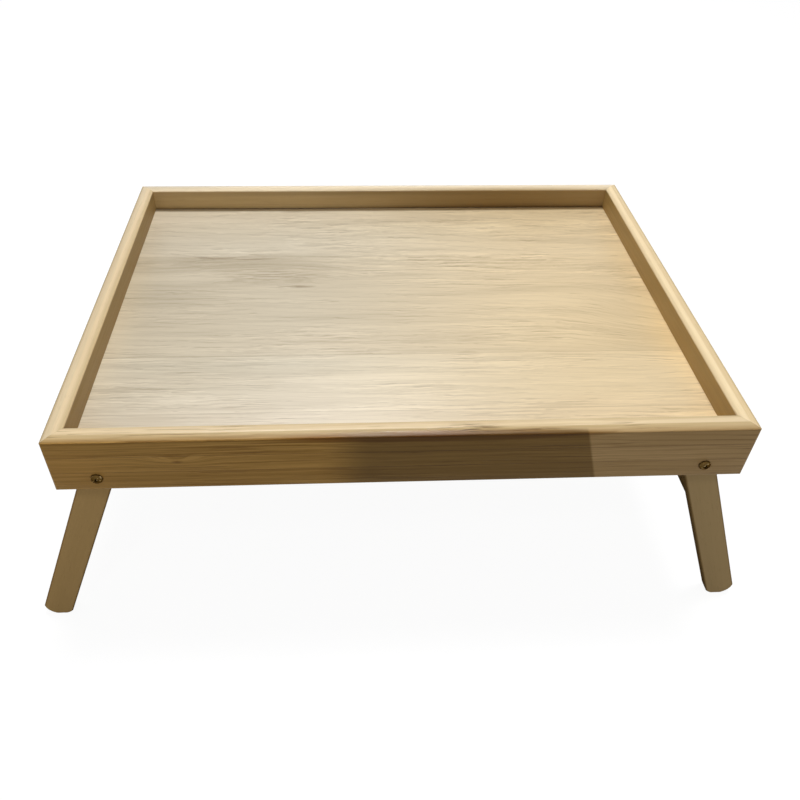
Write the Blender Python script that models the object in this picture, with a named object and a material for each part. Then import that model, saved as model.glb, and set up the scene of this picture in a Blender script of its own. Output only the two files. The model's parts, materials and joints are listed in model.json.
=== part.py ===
"""A wooden bed tray on two leg frames that fold flat under its panel.

Lengths are in metres, with +Z up. The origin is on the floor below the middle of the tray,
+X runs along the tray and +Y points to its back.
"""

import math

import bmesh
import bpy
from mathutils import Vector

# Tray frame of four mitred rails
TRAY_LENGTH = 0.520
TRAY_DEPTH = 0.380
STAND_HEIGHT = 0.240
RAIL_HEIGHT = 0.051
RAIL_THICKNESS = 0.014
RIM_RADIUS = 0.003
LOWER_EDGE_RADIUS = 0.001
CORNER_RADIUS = 0.002

# Panel held in a groove round the rails
PANEL_THICKNESS = 0.0035
GROOVE_DEPTH = 0.006

# Dowels across the mitres
DOWEL_RADIUS = 0.002
DOWEL_LENGTH = 0.012
DOWEL_CHAMFER = 0.0004

# Leg frames, each of two legs and a crossbar
PIVOT_INSET = 0.0328
PIVOT_RISE = 0.0125
LEG_WIDTH = 0.0248
LEG_THICKNESS = 0.012
LEG_EDGE_RADIUS = 0.0012
FOOT_ARC_EXTRA = 0.001
FOOT_FLAT_WIDTH = 0.009
CROSSBAR_THICKNESS = 0.012
CROSSBAR_DROP = 0.060
TENON_SHOULDER = 0.003
TENON_LENGTH = 0.008
TENON_EDGE_RADIUS = 0.0008

# Pivot hardware
SHANK_RADIUS = 0.0025
HEAD_RADIUS = 0.0045
HEAD_HEIGHT = 0.0026
HEAD_RIM_HEIGHT = 0.0006
RECESS_SPAN = 0.0050
RECESS_WIDTH = 0.0011
RECESS_DEPTH = 0.0013
WASHER_RADIUS = 0.006
WASHER_THICKNESS = 0.001
NUT_ACROSS_FLATS = 0.008
NUT_HEIGHT = 0.0047
NUT_FACE_EASE = 0.0002
SCREW_TIP_LENGTH = 0.0012
SCREW_TIP_CHAMFER = 0.0005

# Clearances and cuts
SEAT_GAP = 0.0003
FOLD_CLEARANCE = 0.0006
CUT_OVERRUN = 0.002
MERGE_DISTANCE = 0.000001

# Angles and facet counts
QUARTER_TURN = math.pi / 2
NUT_CHAMFER_ANGLE = math.radians(30)
SMOOTH_ANGLE = math.radians(35)
RIM_STEPS = 4
LOWER_EDGE_STEPS = 2
CORNER_FACETS = 3
LEG_TOP_STEPS = 12
FOOT_OUTER_STEPS = 7
FOOT_INNER_STEPS = 3
LEG_EDGE_STEPS = 2
DOME_STEPS = 5
BORE_SEGMENTS = 24
DOWEL_SEGMENTS = 12
NUT_SIDES = 6

# Places that follow from the sizes above. The panel lies just above the folded legs.
RAIL_BOTTOM = STAND_HEIGHT - RAIL_HEIGHT
PIVOT_X = TRAY_LENGTH / 2 - PIVOT_INSET
PIVOT_Z = RAIL_BOTTOM + PIVOT_RISE
PANEL_BOTTOM = PIVOT_Z + LEG_WIDTH / 2 + FOLD_CLEARANCE
PANEL_TOP = PANEL_BOTTOM + PANEL_THICKNESS
PANEL_DROP = STAND_HEIGHT - PANEL_TOP
SPACER_AT = RAIL_THICKNESS + SEAT_GAP
LEG_AT = SPACER_AT + WASHER_THICKNESS + SEAT_GAP
NUT_WASHER_AT = LEG_AT + LEG_THICKNESS + SEAT_GAP
NUT_AT = NUT_WASHER_AT + WASHER_THICKNESS + SEAT_GAP
SCREW_LENGTH = SEAT_GAP + NUT_AT + NUT_HEIGHT + SCREW_TIP_LENGTH
BORE_RADIUS = SHANK_RADIUS + SEAT_GAP
CROSSBAR_HALF_LENGTH = TRAY_DEPTH / 2 - LEG_AT - LEG_THICKNESS - SEAT_GAP

# Sides of the tray by name, as signs along X and Y
COLUMNS = {"left": -1, "right": 1}
ROWS = {"front": -1, "back": 1}


def clear_scene():
    """Remove every object that the opened file holds."""
    for item in list(bpy.data.objects):
        bpy.data.objects.remove(item, do_unlink=True)


def finish(name, colour, roughness, metallic=0.0):
    """Return a material with one Principled BSDF of the given linear colour."""
    material = bpy.data.materials.new(name)
    material.use_nodes = True
    shader = material.node_tree.nodes["Principled BSDF"]
    shader.inputs["Base Color"].default_value = (*colour, 1.0)
    shader.inputs["Roughness"].default_value = roughness
    shader.inputs["Metallic"].default_value = metallic
    return material


def finishes():
    """Return the tray's materials by the name of the sub-part that wears them."""
    return {
        "rail": finish("rail_honey_wood", (0.50, 0.36, 0.18), 0.55),
        "panel": finish("panel_pale_veneer", (0.68, 0.57, 0.41), 0.45),
        "leg": finish("leg_brown_wood", (0.42, 0.30, 0.16), 0.55),
        "crossbar": finish("crossbar_brown_wood", (0.44, 0.32, 0.17), 0.55),
        "dowel": finish("dowel_beech", (0.60, 0.44, 0.27), 0.60),
        "screw": finish("screw_dark_bronze", (0.09, 0.06, 0.03), 0.35, 1.0),
        "washer": finish("washer_white_nylon", (0.72, 0.70, 0.64), 0.50),
        "nut": finish("nut_zinc_plate", (0.55, 0.55, 0.53), 0.35, 1.0),
    }


def arc(centre, radius, start, end, steps):
    """Return the points of an arc in a plane, both ends included."""
    points = []
    for step in range(steps + 1):
        angle = start + (end - start) * step / steps
        points.append((centre[0] + radius * math.cos(angle), centre[1] + radius * math.sin(angle)))
    return points


def loft(bm, *rings):
    """Join rings of as many points each by side faces and close both ends."""
    loops = [[bm.verts.new(point) for point in ring] for ring in rings]
    bm.faces.new(loops[0])
    bm.faces.new(loops[-1])
    for near, far in zip(loops, loops[1:]):
        for index, corner in enumerate(near):
            after = (index + 1) % len(near)
            bm.faces.new((corner, near[after], far[after], far[index]))
    bmesh.ops.recalc_face_normals(bm, faces=bm.faces)


def turned(profile, segments, ring=False):
    """Return a mesh turned round Z from (radius, height) points; a ring's profile closes on itself."""
    bm = bmesh.new()
    corners = [bm.verts.new((radius, 0, height)) for radius, height in profile]
    edges = [bm.edges.new(pair) for pair in zip(corners, corners[1:])]
    if ring:
        edges.append(bm.edges.new((corners[-1], corners[0])))
    bmesh.ops.spin(
        bm,
        geom=corners + edges,
        cent=(0, 0, 0),
        axis=(0, 0, 1),
        angle=4 * QUARTER_TURN,
        steps=segments,
    )
    bmesh.ops.remove_doubles(bm, verts=bm.verts, dist=MERGE_DISTANCE)
    bmesh.ops.recalc_face_normals(bm, faces=bm.faces)
    return to_mesh(bm)


def rod(radius, low, high, chamfer=0):
    """Return the profile of a plain rod along Z, with a chamfer at both ends where one is given."""
    lower = [(0, low), (radius - chamfer, low)]
    upper = [(radius - chamfer, high), (0, high)]
    if chamfer:
        lower.append((radius, low + chamfer))
        upper.insert(0, (radius, high - chamfer))
    return lower + upper


def to_mesh(bm):
    """Turn a bmesh into a mesh and free it."""
    mesh = bpy.data.meshes.new("piece")
    bm.to_mesh(mesh)
    bm.free()
    return mesh


def piece(name, mesh, material, location=(0, 0, 0), rotation=(0, 0, 0), parent=None, smooth=False):
    """Place a mesh in the scene as one named sub-part."""
    mesh.name = name
    placed = bpy.data.objects.new(name, mesh)
    placed.location = location
    placed.rotation_euler = rotation
    placed.parent = parent
    mesh.materials.append(material)
    if smooth:
        mesh.shade_smooth()
        mesh.set_sharp_from_angle(angle=SMOOTH_ANGLE)
    bpy.context.scene.collection.objects.link(placed)
    return placed


def cutter(name, mesh, location=(0, 0, 0), rotation=(0, 0, 0), parent=None):
    """Place a mesh as a hidden tool for Boolean cuts."""
    placed = bpy.data.objects.new(name, mesh)
    placed.location = location
    placed.rotation_euler = rotation
    placed.parent = parent
    placed.hide_render = True
    placed.display_type = "WIRE"
    bpy.context.scene.collection.objects.link(placed)
    return placed


def apply_tool(target, tool, operation="DIFFERENCE"):
    """Add an exact Boolean between a sub-part and a hidden tool."""
    modifier = target.modifiers.new(tool.name, "BOOLEAN")
    modifier.operation = operation
    modifier.solver = "EXACT"
    modifier.object = tool


def leg_splay():
    """Return a leg's angle from the vertical.

    The leg swings outward until its outer edge bears on the side rail's lower inner edge.
    """
    across = PIVOT_INSET - RAIL_THICKNESS
    corner_reach = math.hypot(across, PIVOT_RISE)
    edge_distance = LEG_WIDTH / 2 + SEAT_GAP
    return math.acos(edge_distance / corner_reach) - math.atan2(PIVOT_RISE, across)


def foot_radius():
    """Return the radius of the rounded foot, a little more than half the leg's width."""
    return LEG_WIDTH / 2 + FOOT_ARC_EXTRA


def foot_flat_angle():
    """Return half the angle that the foot's flat takes out of its round end."""
    return math.asin(FOOT_FLAT_WIDTH / 2 / foot_radius())


def foot_centre_drop():
    """Return the distance along a leg from its pivot to the centre of its rounded foot.

    The splayed leg then has the flat of its foot on the floor.
    """
    centre_height = foot_radius() * math.cos(foot_flat_angle())
    return (PIVOT_Z - centre_height) / math.cos(leg_splay())


def row_y(row, distance):
    """Return the Y of a point at a distance inside the front or back face of the tray."""
    return row * (TRAY_DEPTH / 2 - distance)


def facing_in(row):
    """Return the rotation that points a turned piece's Z from the front or back rail inward."""
    return (row * QUARTER_TURN, 0, 0)


def rail_outline():
    """Return a rail's cross-section as (distance inside its outer face, height) points."""
    inner = RAIL_THICKNESS
    groove_floor = inner - GROOVE_DEPTH
    groove_low = PANEL_BOTTOM - SEAT_GAP
    groove_high = PANEL_TOP + SEAT_GAP
    lower_centre = (LOWER_EDGE_RADIUS, RAIL_BOTTOM + LOWER_EDGE_RADIUS)
    rim_height = STAND_HEIGHT - RIM_RADIUS
    half_turn = 2 * QUARTER_TURN
    lower_edge = arc(lower_centre, LOWER_EDGE_RADIUS, half_turn, half_turn + QUARTER_TURN, LOWER_EDGE_STEPS)
    inner_face = [
        (inner, RAIL_BOTTOM),
        (inner, groove_low),
        (groove_floor, groove_low),
        (groove_floor, groove_high),
        (inner, groove_high),
    ]
    inner_rim = arc((inner - RIM_RADIUS, rim_height), RIM_RADIUS, 0, QUARTER_TURN, RIM_STEPS)
    outer_rim = arc((RIM_RADIUS, rim_height), RIM_RADIUS, QUARTER_TURN, half_turn, RIM_STEPS)
    return lower_edge + inner_face + inner_rim + outer_rim


def slice_off(bm, point, normal):
    """Cut away what lies on the normal's side of a plane and close the cut."""
    everything = bm.verts[:] + bm.edges[:] + bm.faces[:]
    bmesh.ops.bisect_plane(
        bm,
        geom=everything,
        dist=MERGE_DISTANCE,
        plane_co=point,
        plane_no=normal,
        clear_outer=True,
    )
    open_edges = [edge for edge in bm.edges if edge.is_boundary]
    bmesh.ops.holes_fill(bm, edges=open_edges)


def rail_mesh(length):
    """Return a rail along X with its outer face at Y zero, mitred and with its outer corners eased."""
    bm = bmesh.new()
    mitre_gap = SEAT_GAP / math.sqrt(2)
    ends = {}
    for side in (-1, 1):
        ends[side] = [
            (side * (length / 2 - inward - mitre_gap), inward, height)
            for inward, height in rail_outline()
        ]
    loft(bm, ends[-1], ends[1])
    for side in (-1, 1):
        centre = Vector((side * (length / 2 - CORNER_RADIUS), CORNER_RADIUS, 0))
        for facet in range(1, CORNER_FACETS + 1):
            angle = QUARTER_TURN / 2 * facet / CORNER_FACETS
            normal = Vector((side * math.sin(angle), -math.cos(angle), 0))
            slice_off(bm, centre + CORNER_RADIUS * normal, normal)
    bmesh.ops.recalc_face_normals(bm, faces=bm.faces)
    return to_mesh(bm)


def make_rails(material):
    """Make the four mitred rails and return them by name."""
    half_length = TRAY_LENGTH / 2
    half_depth = TRAY_DEPTH / 2
    layout = {
        "front": (TRAY_LENGTH, (0, -half_depth, 0), 0),
        "right": (TRAY_DEPTH, (half_length, 0, 0), QUARTER_TURN),
        "back": (TRAY_LENGTH, (0, half_depth, 0), 2 * QUARTER_TURN),
        "left": (TRAY_DEPTH, (-half_length, 0, 0), 3 * QUARTER_TURN),
    }
    rails = {}
    for name, (length, location, turn) in layout.items():
        rails[name] = piece(
            f"{name}_rail", rail_mesh(length), material, location, (0, 0, turn), smooth=True
        )
    return rails


def make_panel(material):
    """Make the panel, which reaches into the grooves of all four rails."""
    inset = RAIL_THICKNESS - GROOVE_DEPTH + SEAT_GAP
    half_length = TRAY_LENGTH / 2 - inset
    half_depth = TRAY_DEPTH / 2 - inset
    outline = [
        (-half_length, -half_depth),
        (half_length, -half_depth),
        (half_length, half_depth),
        (-half_length, half_depth),
    ]
    bm = bmesh.new()
    loft(bm, [(x, y, PANEL_BOTTOM) for x, y in outline], [(x, y, PANEL_TOP) for x, y in outline])
    piece("tray_panel", to_mesh(bm), material)


def make_dowels(material, rails):
    """Make two dowels across each mitre and drill both rails that they join."""
    mitre_middle = RAIL_THICKNESS / 2
    heights = {
        "upper": STAND_HEIGHT - PANEL_DROP / 2,
        "lower": (PANEL_BOTTOM + RAIL_BOTTOM) / 2,
    }
    half = DOWEL_LENGTH / 2
    profile = rod(DOWEL_RADIUS, -half, half, DOWEL_CHAMFER)
    hole_profile = rod(DOWEL_RADIUS + SEAT_GAP, -half - SEAT_GAP, half + SEAT_GAP)
    for row_name, row in ROWS.items():
        for column_name, column in COLUMNS.items():
            for level, height in heights.items():
                location = (
                    column * (TRAY_LENGTH / 2 - mitre_middle),
                    row_y(row, mitre_middle),
                    height,
                )
                rotation = (QUARTER_TURN, 0, row * column * QUARTER_TURN / 2)
                name = f"{row_name}_{column_name}_{level}_dowel"
                mesh = turned(profile, DOWEL_SEGMENTS)
                piece(name, mesh, material, location, rotation, smooth=True)
                hole = cutter(f"{name}_hole", turned(hole_profile, DOWEL_SEGMENTS), location, rotation)
                apply_tool(rails[row_name], hole)
                apply_tool(rails[column_name], hole)


def leg_outline(column):
    """Return a leg's outline as (x, z) points, with its pivot at the origin and its foot below.

    The foot is a round end with a flat that lies on the floor once the leg is splayed.
    """
    half = LEG_WIDTH / 2
    down = -QUARTER_TURN
    shoulder = math.asin(half / foot_radius())
    flat = foot_flat_angle()
    splay = leg_splay()
    centre = (0, -foot_centre_drop())
    top = arc((0, 0), half, 2 * QUARTER_TURN, 0, LEG_TOP_STEPS)
    outer = arc(centre, foot_radius(), down + shoulder, down - splay + flat, FOOT_OUTER_STEPS)
    inner = arc(centre, foot_radius(), down - splay - flat, down - shoulder, FOOT_INNER_STEPS)
    return [(column * x, z) for x, z in top + outer + inner]


def make_leg(name, material, column, row, frame):
    """Make one leg, hung from the pivot axis of its frame."""
    half = LEG_THICKNESS / 2
    outline = leg_outline(column)
    bm = bmesh.new()
    loft(bm, [(x, -half, z) for x, z in outline], [(x, half, z) for x, z in outline])
    location = (0, row_y(row, LEG_AT + half), 0)
    leg = piece(name, to_mesh(bm), material, location, parent=frame, smooth=True)
    edges = leg.modifiers.new("eased_edges", "BEVEL")
    edges.width = LEG_EDGE_RADIUS
    edges.segments = LEG_EDGE_STEPS
    edges.limit_method = "ANGLE"
    edges.angle_limit = SMOOTH_ANGLE
    return leg


def bar_section(width, thickness, radius, y):
    """Return the ring of a bar's eased rectangular section, across X and Z, at a place along Y."""
    ring = []
    for quarter, (x_sign, z_sign) in enumerate(((1, 1), (-1, 1), (-1, -1), (1, -1))):
        centre = (x_sign * (width / 2 - radius), z_sign * (thickness / 2 - radius))
        start = quarter * QUARTER_TURN
        ring += [(x, y, z) for x, z in arc(centre, radius, start, start + QUARTER_TURN, LEG_EDGE_STEPS)]
    return ring


def make_crossbar(name, material, frame):
    """Make the bar that joins a frame's two legs, and return the tool for the mortises it needs.

    The bar is as wide as the legs, so its edges are flush with theirs.
    """
    shoulder = CROSSBAR_HALF_LENGTH
    tip = shoulder + TENON_LENGTH
    tenon_width = LEG_WIDTH - 2 * TENON_SHOULDER
    tenon_thickness = CROSSBAR_THICKNESS - 2 * TENON_SHOULDER
    tenon = (tenon_width, tenon_thickness, TENON_EDGE_RADIUS)
    bar = (LEG_WIDTH, CROSSBAR_THICKNESS, LEG_EDGE_RADIUS)
    mortise = (tenon_width + 2 * SEAT_GAP, tenon_thickness + 2 * SEAT_GAP, TENON_EDGE_RADIUS + SEAT_GAP)
    location = (0, 0, -CROSSBAR_DROP)
    bm = bmesh.new()
    loft(
        bm,
        bar_section(*tenon, -tip),
        bar_section(*tenon, -shoulder),
        bar_section(*bar, -shoulder),
        bar_section(*bar, shoulder),
        bar_section(*tenon, shoulder),
        bar_section(*tenon, tip),
    )
    piece(name, to_mesh(bm), material, location, parent=frame, smooth=True)
    depth = tip + SEAT_GAP
    bm = bmesh.new()
    loft(bm, bar_section(*mortise, -depth), bar_section(*mortise, depth))
    return cutter(f"{name}_mortises", to_mesh(bm), location, parent=frame)


def screw_mesh():
    """Return a domed screw along Z, with the underside of its head at zero."""
    dome_height = HEAD_HEIGHT - HEAD_RIM_HEIGHT
    dome = []
    for step in range(DOME_STEPS + 1):
        angle = QUARTER_TURN * step / DOME_STEPS
        dome.append((HEAD_RADIUS * math.sin(angle), -HEAD_RIM_HEIGHT - dome_height * math.cos(angle)))
    shank = [
        (HEAD_RADIUS, 0),
        (SHANK_RADIUS, 0),
        (SHANK_RADIUS, SCREW_LENGTH - SCREW_TIP_CHAMFER),
        (SHANK_RADIUS - SCREW_TIP_CHAMFER, SCREW_LENGTH),
        (0, SCREW_LENGTH),
    ]
    return turned(dome + shank, BORE_SEGMENTS)


def recess_mesh():
    """Return the cross-shaped tool that cuts the driver recess into a screw's head."""
    arm = RECESS_SPAN / 2
    half = RECESS_WIDTH / 2
    outline = []
    for x_sign, y_sign in ((1, 1), (-1, 1), (-1, -1), (1, -1)):
        corner = [(arm, half), (half, half), (half, arm)]
        if x_sign * y_sign < 0:
            corner.reverse()
        outline += [(x_sign * x, y_sign * y) for x, y in corner]
    floor = RECESS_DEPTH - HEAD_HEIGHT
    bm = bmesh.new()
    loft(bm, [(x, y, -HEAD_HEIGHT - CUT_OVERRUN) for x, y in outline], [(x, y, floor) for x, y in outline])
    return to_mesh(bm)


def nut_corner_radius():
    """Return the distance from a nut's axis to its corners."""
    return NUT_ACROSS_FLATS / 2 / math.cos(2 * QUARTER_TURN / NUT_SIDES)


def nut_mesh():
    """Return a hexagon bar along Z, longer at both ends than the nut that is kept of it."""
    outline = arc((0, 0), nut_corner_radius(), 0, 4 * QUARTER_TURN, NUT_SIDES)[:-1]
    low = -CUT_OVERRUN
    high = NUT_HEIGHT + CUT_OVERRUN
    bm = bmesh.new()
    loft(bm, [(x, y, low) for x, y in outline], [(x, y, high) for x, y in outline])
    return to_mesh(bm)


def chamfer_mesh():
    """Return the barrel that a nut is kept inside, which sets its height and chamfers its corners."""
    face_radius = NUT_ACROSS_FLATS / 2 - NUT_FACE_EASE
    waist_radius = nut_corner_radius() + NUT_FACE_EASE
    rise = (waist_radius - face_radius) * math.tan(NUT_CHAMFER_ANGLE)
    profile = [
        (0, 0),
        (face_radius, 0),
        (waist_radius, rise),
        (waist_radius, NUT_HEIGHT - rise),
        (face_radius, NUT_HEIGHT),
        (0, NUT_HEIGHT),
    ]
    return turned(profile, BORE_SEGMENTS)


def make_pivot(name, column, row, materials, rail, leg):
    """Make the screw, washers and nut of one pivot and bore the rail and the leg for them."""
    rotation = facing_in(row)

    def at(distance):
        return (column * PIVOT_X, row_y(row, distance), PIVOT_Z)

    bore_profile = rod(BORE_RADIUS, -CUT_OVERRUN, SCREW_LENGTH + CUT_OVERRUN)
    bore = cutter(f"{name}_bore", turned(bore_profile, BORE_SEGMENTS), at(0), rotation)
    apply_tool(rail, bore)
    apply_tool(leg, bore)
    screw = piece(
        f"{name}_pivot_screw", screw_mesh(), materials["screw"], at(-SEAT_GAP), rotation, smooth=True
    )
    recess = cutter(f"{name}_recess", recess_mesh(), at(-SEAT_GAP), rotation)
    apply_tool(screw, recess)
    washer_profile = [
        (BORE_RADIUS, 0),
        (WASHER_RADIUS, 0),
        (WASHER_RADIUS, WASHER_THICKNESS),
        (BORE_RADIUS, WASHER_THICKNESS),
    ]
    for kind, distance in (("spacer", SPACER_AT), ("nut", NUT_WASHER_AT)):
        mesh = turned(washer_profile, BORE_SEGMENTS, ring=True)
        piece(f"{name}_{kind}_washer", mesh, materials["washer"], at(distance), rotation, smooth=True)
    nut = piece(f"{name}_nut", nut_mesh(), materials["nut"], at(NUT_AT), rotation)
    chamfers = cutter(f"{name}_nut_chamfers", chamfer_mesh(), at(NUT_AT), rotation)
    apply_tool(nut, chamfers, "INTERSECT")
    apply_tool(nut, bore)


def make_leg_frames(materials, rails):
    """Make both leg frames and the hardware of their pivots."""
    for column_name, column in COLUMNS.items():
        frame = bpy.data.objects.new(f"{column_name}_pivot_axis", None)
        frame.location = (column * PIVOT_X, 0, PIVOT_Z)
        frame.rotation_euler = (0, -column * leg_splay(), 0)
        bpy.context.scene.collection.objects.link(frame)
        mortises = make_crossbar(f"{column_name}_crossbar", materials["crossbar"], frame)
        for row_name, row in ROWS.items():
            name = f"{row_name}_{column_name}"
            leg = make_leg(f"{name}_leg", materials["leg"], column, row, frame)
            apply_tool(leg, mortises)
            make_pivot(name, column, row, materials, rails[row_name], leg)


def main():
    """Model the whole tray."""
    clear_scene()
    materials = finishes()
    rails = make_rails(materials["rail"])
    make_panel(materials["panel"])
    make_dowels(materials["dowel"], rails)
    make_leg_frames(materials, rails)
    bpy.context.view_layer.update()


main()
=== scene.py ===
"""A wooden bed tray in its finishes, on a pale floor and in soft studio light.

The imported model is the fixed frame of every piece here. Lengths are in metres, and in the finishes
in millimetres. The origin is on the floor under the middle of the tray, +X runs along the tray, +Y
points to its back and +Z is up.
"""

import json
import logging
import math
from collections.abc import Callable, Iterator
from contextlib import contextmanager
from dataclasses import dataclass, field, replace
from enum import Enum
from functools import cached_property
from itertools import product

import bmesh
import bpy
from mathutils import Matrix, Vector


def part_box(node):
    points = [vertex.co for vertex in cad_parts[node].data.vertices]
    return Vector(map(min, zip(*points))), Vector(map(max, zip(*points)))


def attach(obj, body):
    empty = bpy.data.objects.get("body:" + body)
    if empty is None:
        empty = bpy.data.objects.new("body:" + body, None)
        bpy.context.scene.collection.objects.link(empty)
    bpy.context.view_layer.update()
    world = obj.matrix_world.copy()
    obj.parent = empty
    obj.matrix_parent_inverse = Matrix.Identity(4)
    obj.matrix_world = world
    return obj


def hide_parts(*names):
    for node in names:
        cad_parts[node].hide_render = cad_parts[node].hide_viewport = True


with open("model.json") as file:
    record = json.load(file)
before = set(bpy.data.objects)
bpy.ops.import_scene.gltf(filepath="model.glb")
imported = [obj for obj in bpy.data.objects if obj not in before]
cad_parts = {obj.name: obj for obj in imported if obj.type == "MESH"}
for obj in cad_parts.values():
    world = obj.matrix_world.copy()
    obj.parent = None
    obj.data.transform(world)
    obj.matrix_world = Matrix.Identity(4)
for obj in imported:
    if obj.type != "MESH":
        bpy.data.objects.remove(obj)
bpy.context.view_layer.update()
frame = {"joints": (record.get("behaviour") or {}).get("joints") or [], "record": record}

LOG = logging.getLogger("bed_tray")

Triple = tuple[float, float, float]
Colour = Triple
Socket = bpy.types.NodeSocket
Value = Socket | float | tuple[float, ...]
Test = Callable[[Vector, Vector], bool]

QUARTER_TURN = math.pi / 2
MILLIMETRES = 1000.0
TOUCH = 1e-6
SMOOTH_ANGLE = math.radians(32)
BORE_REACH = 0.5
ORIGIN = Vector()
X_AXIS = Vector((1, 0, 0))
Y_AXIS = Vector((0, 1, 0))
Z_AXIS = Vector((0, 0, 1))
NO_TURN = (0.0, 0.0, 0.0)
WHITE = (1.0, 1.0, 1.0)
ALL_THROUGH = 1000.0
PANEL_LEVEL = 218.0
FACING = 0.9


class Part(Enum):
    """What is selected on a mesh in edit mode."""

    EDGES = "EDGE"
    FACES = "FACE"


class Side(Enum):
    """A side of the tray, as a sign along an axis."""

    @property
    def label(self) -> str:
        """Return the side's name as the nodes have it."""
        return self.name.lower()


class Row(Side):
    """The front or the back of the tray, as a sign along Y."""

    FRONT = -1
    BACK = 1


class Column(Side):
    """The left or the right of the tray, as a sign along X."""

    LEFT = -1
    RIGHT = 1


class Effect(Enum):
    """What a lamp lights."""

    ALL = "all"
    COLOURS = "colours"
    GLINTS = "glints"


class Operation(Enum):
    """How a tool changes a workpiece."""

    CUT = "DIFFERENCE"
    JOIN = "UNION"
    KEEP = "INTERSECT"


def near(first: float, second: float) -> bool:
    """Tell whether two lengths are the same to within a thousandth of a millimetre."""
    return abs(first - second) < TOUCH


def at_level(axis: int, level: float) -> Test:
    """Return a test for the edges that lie at one level along an axis."""
    return lambda first, second: near(first[axis], level) and near(second[axis], level)


def along_x(y: float, z: float) -> Test:
    """Return a test for the edges along X that pass through a place."""
    return lambda first, second: at_level(1, y)(first, second) and at_level(2, z)(first, second)


def facing(direction: Vector) -> Test:
    """Return a test for the faces that look in a direction."""
    return lambda centre, normal: normal.dot(direction) > FACING


def arc(centre: Vector, first: Vector, second: Vector, steps: int, start: float, end: float) -> list[Vector]:
    """Return the points of an arc.

    Args:
        centre: The centre of its circle or ellipse.
        first: The half axis that the angle starts from.
        second: The half axis that it turns towards.
        steps: How many straight steps it has.
        start: The angle of its first point.
        end: The angle of its last point.

    Returns:
        The points, both ends included.
    """
    angles = [start + (end - start) * step / steps for step in range(steps + 1)]
    return [centre + math.cos(angle) * first + math.sin(angle) * second for angle in angles]


def dowel_places() -> Iterator[tuple[Row, Column, str, Vector, float]]:
    """Go through the dowels.

    Yields:
        Each dowel's row, column and node, its middle, and its turn about Z from the Y axis.
    """
    for row, column, level in product(Row, Column, ("upper", "lower")):
        node = f"{row.label}_{column.label}_{level}_dowel"
        low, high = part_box(node)
        yield row, column, node, (low + high) / 2, row.value * column.value * QUARTER_TURN / 2


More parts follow.
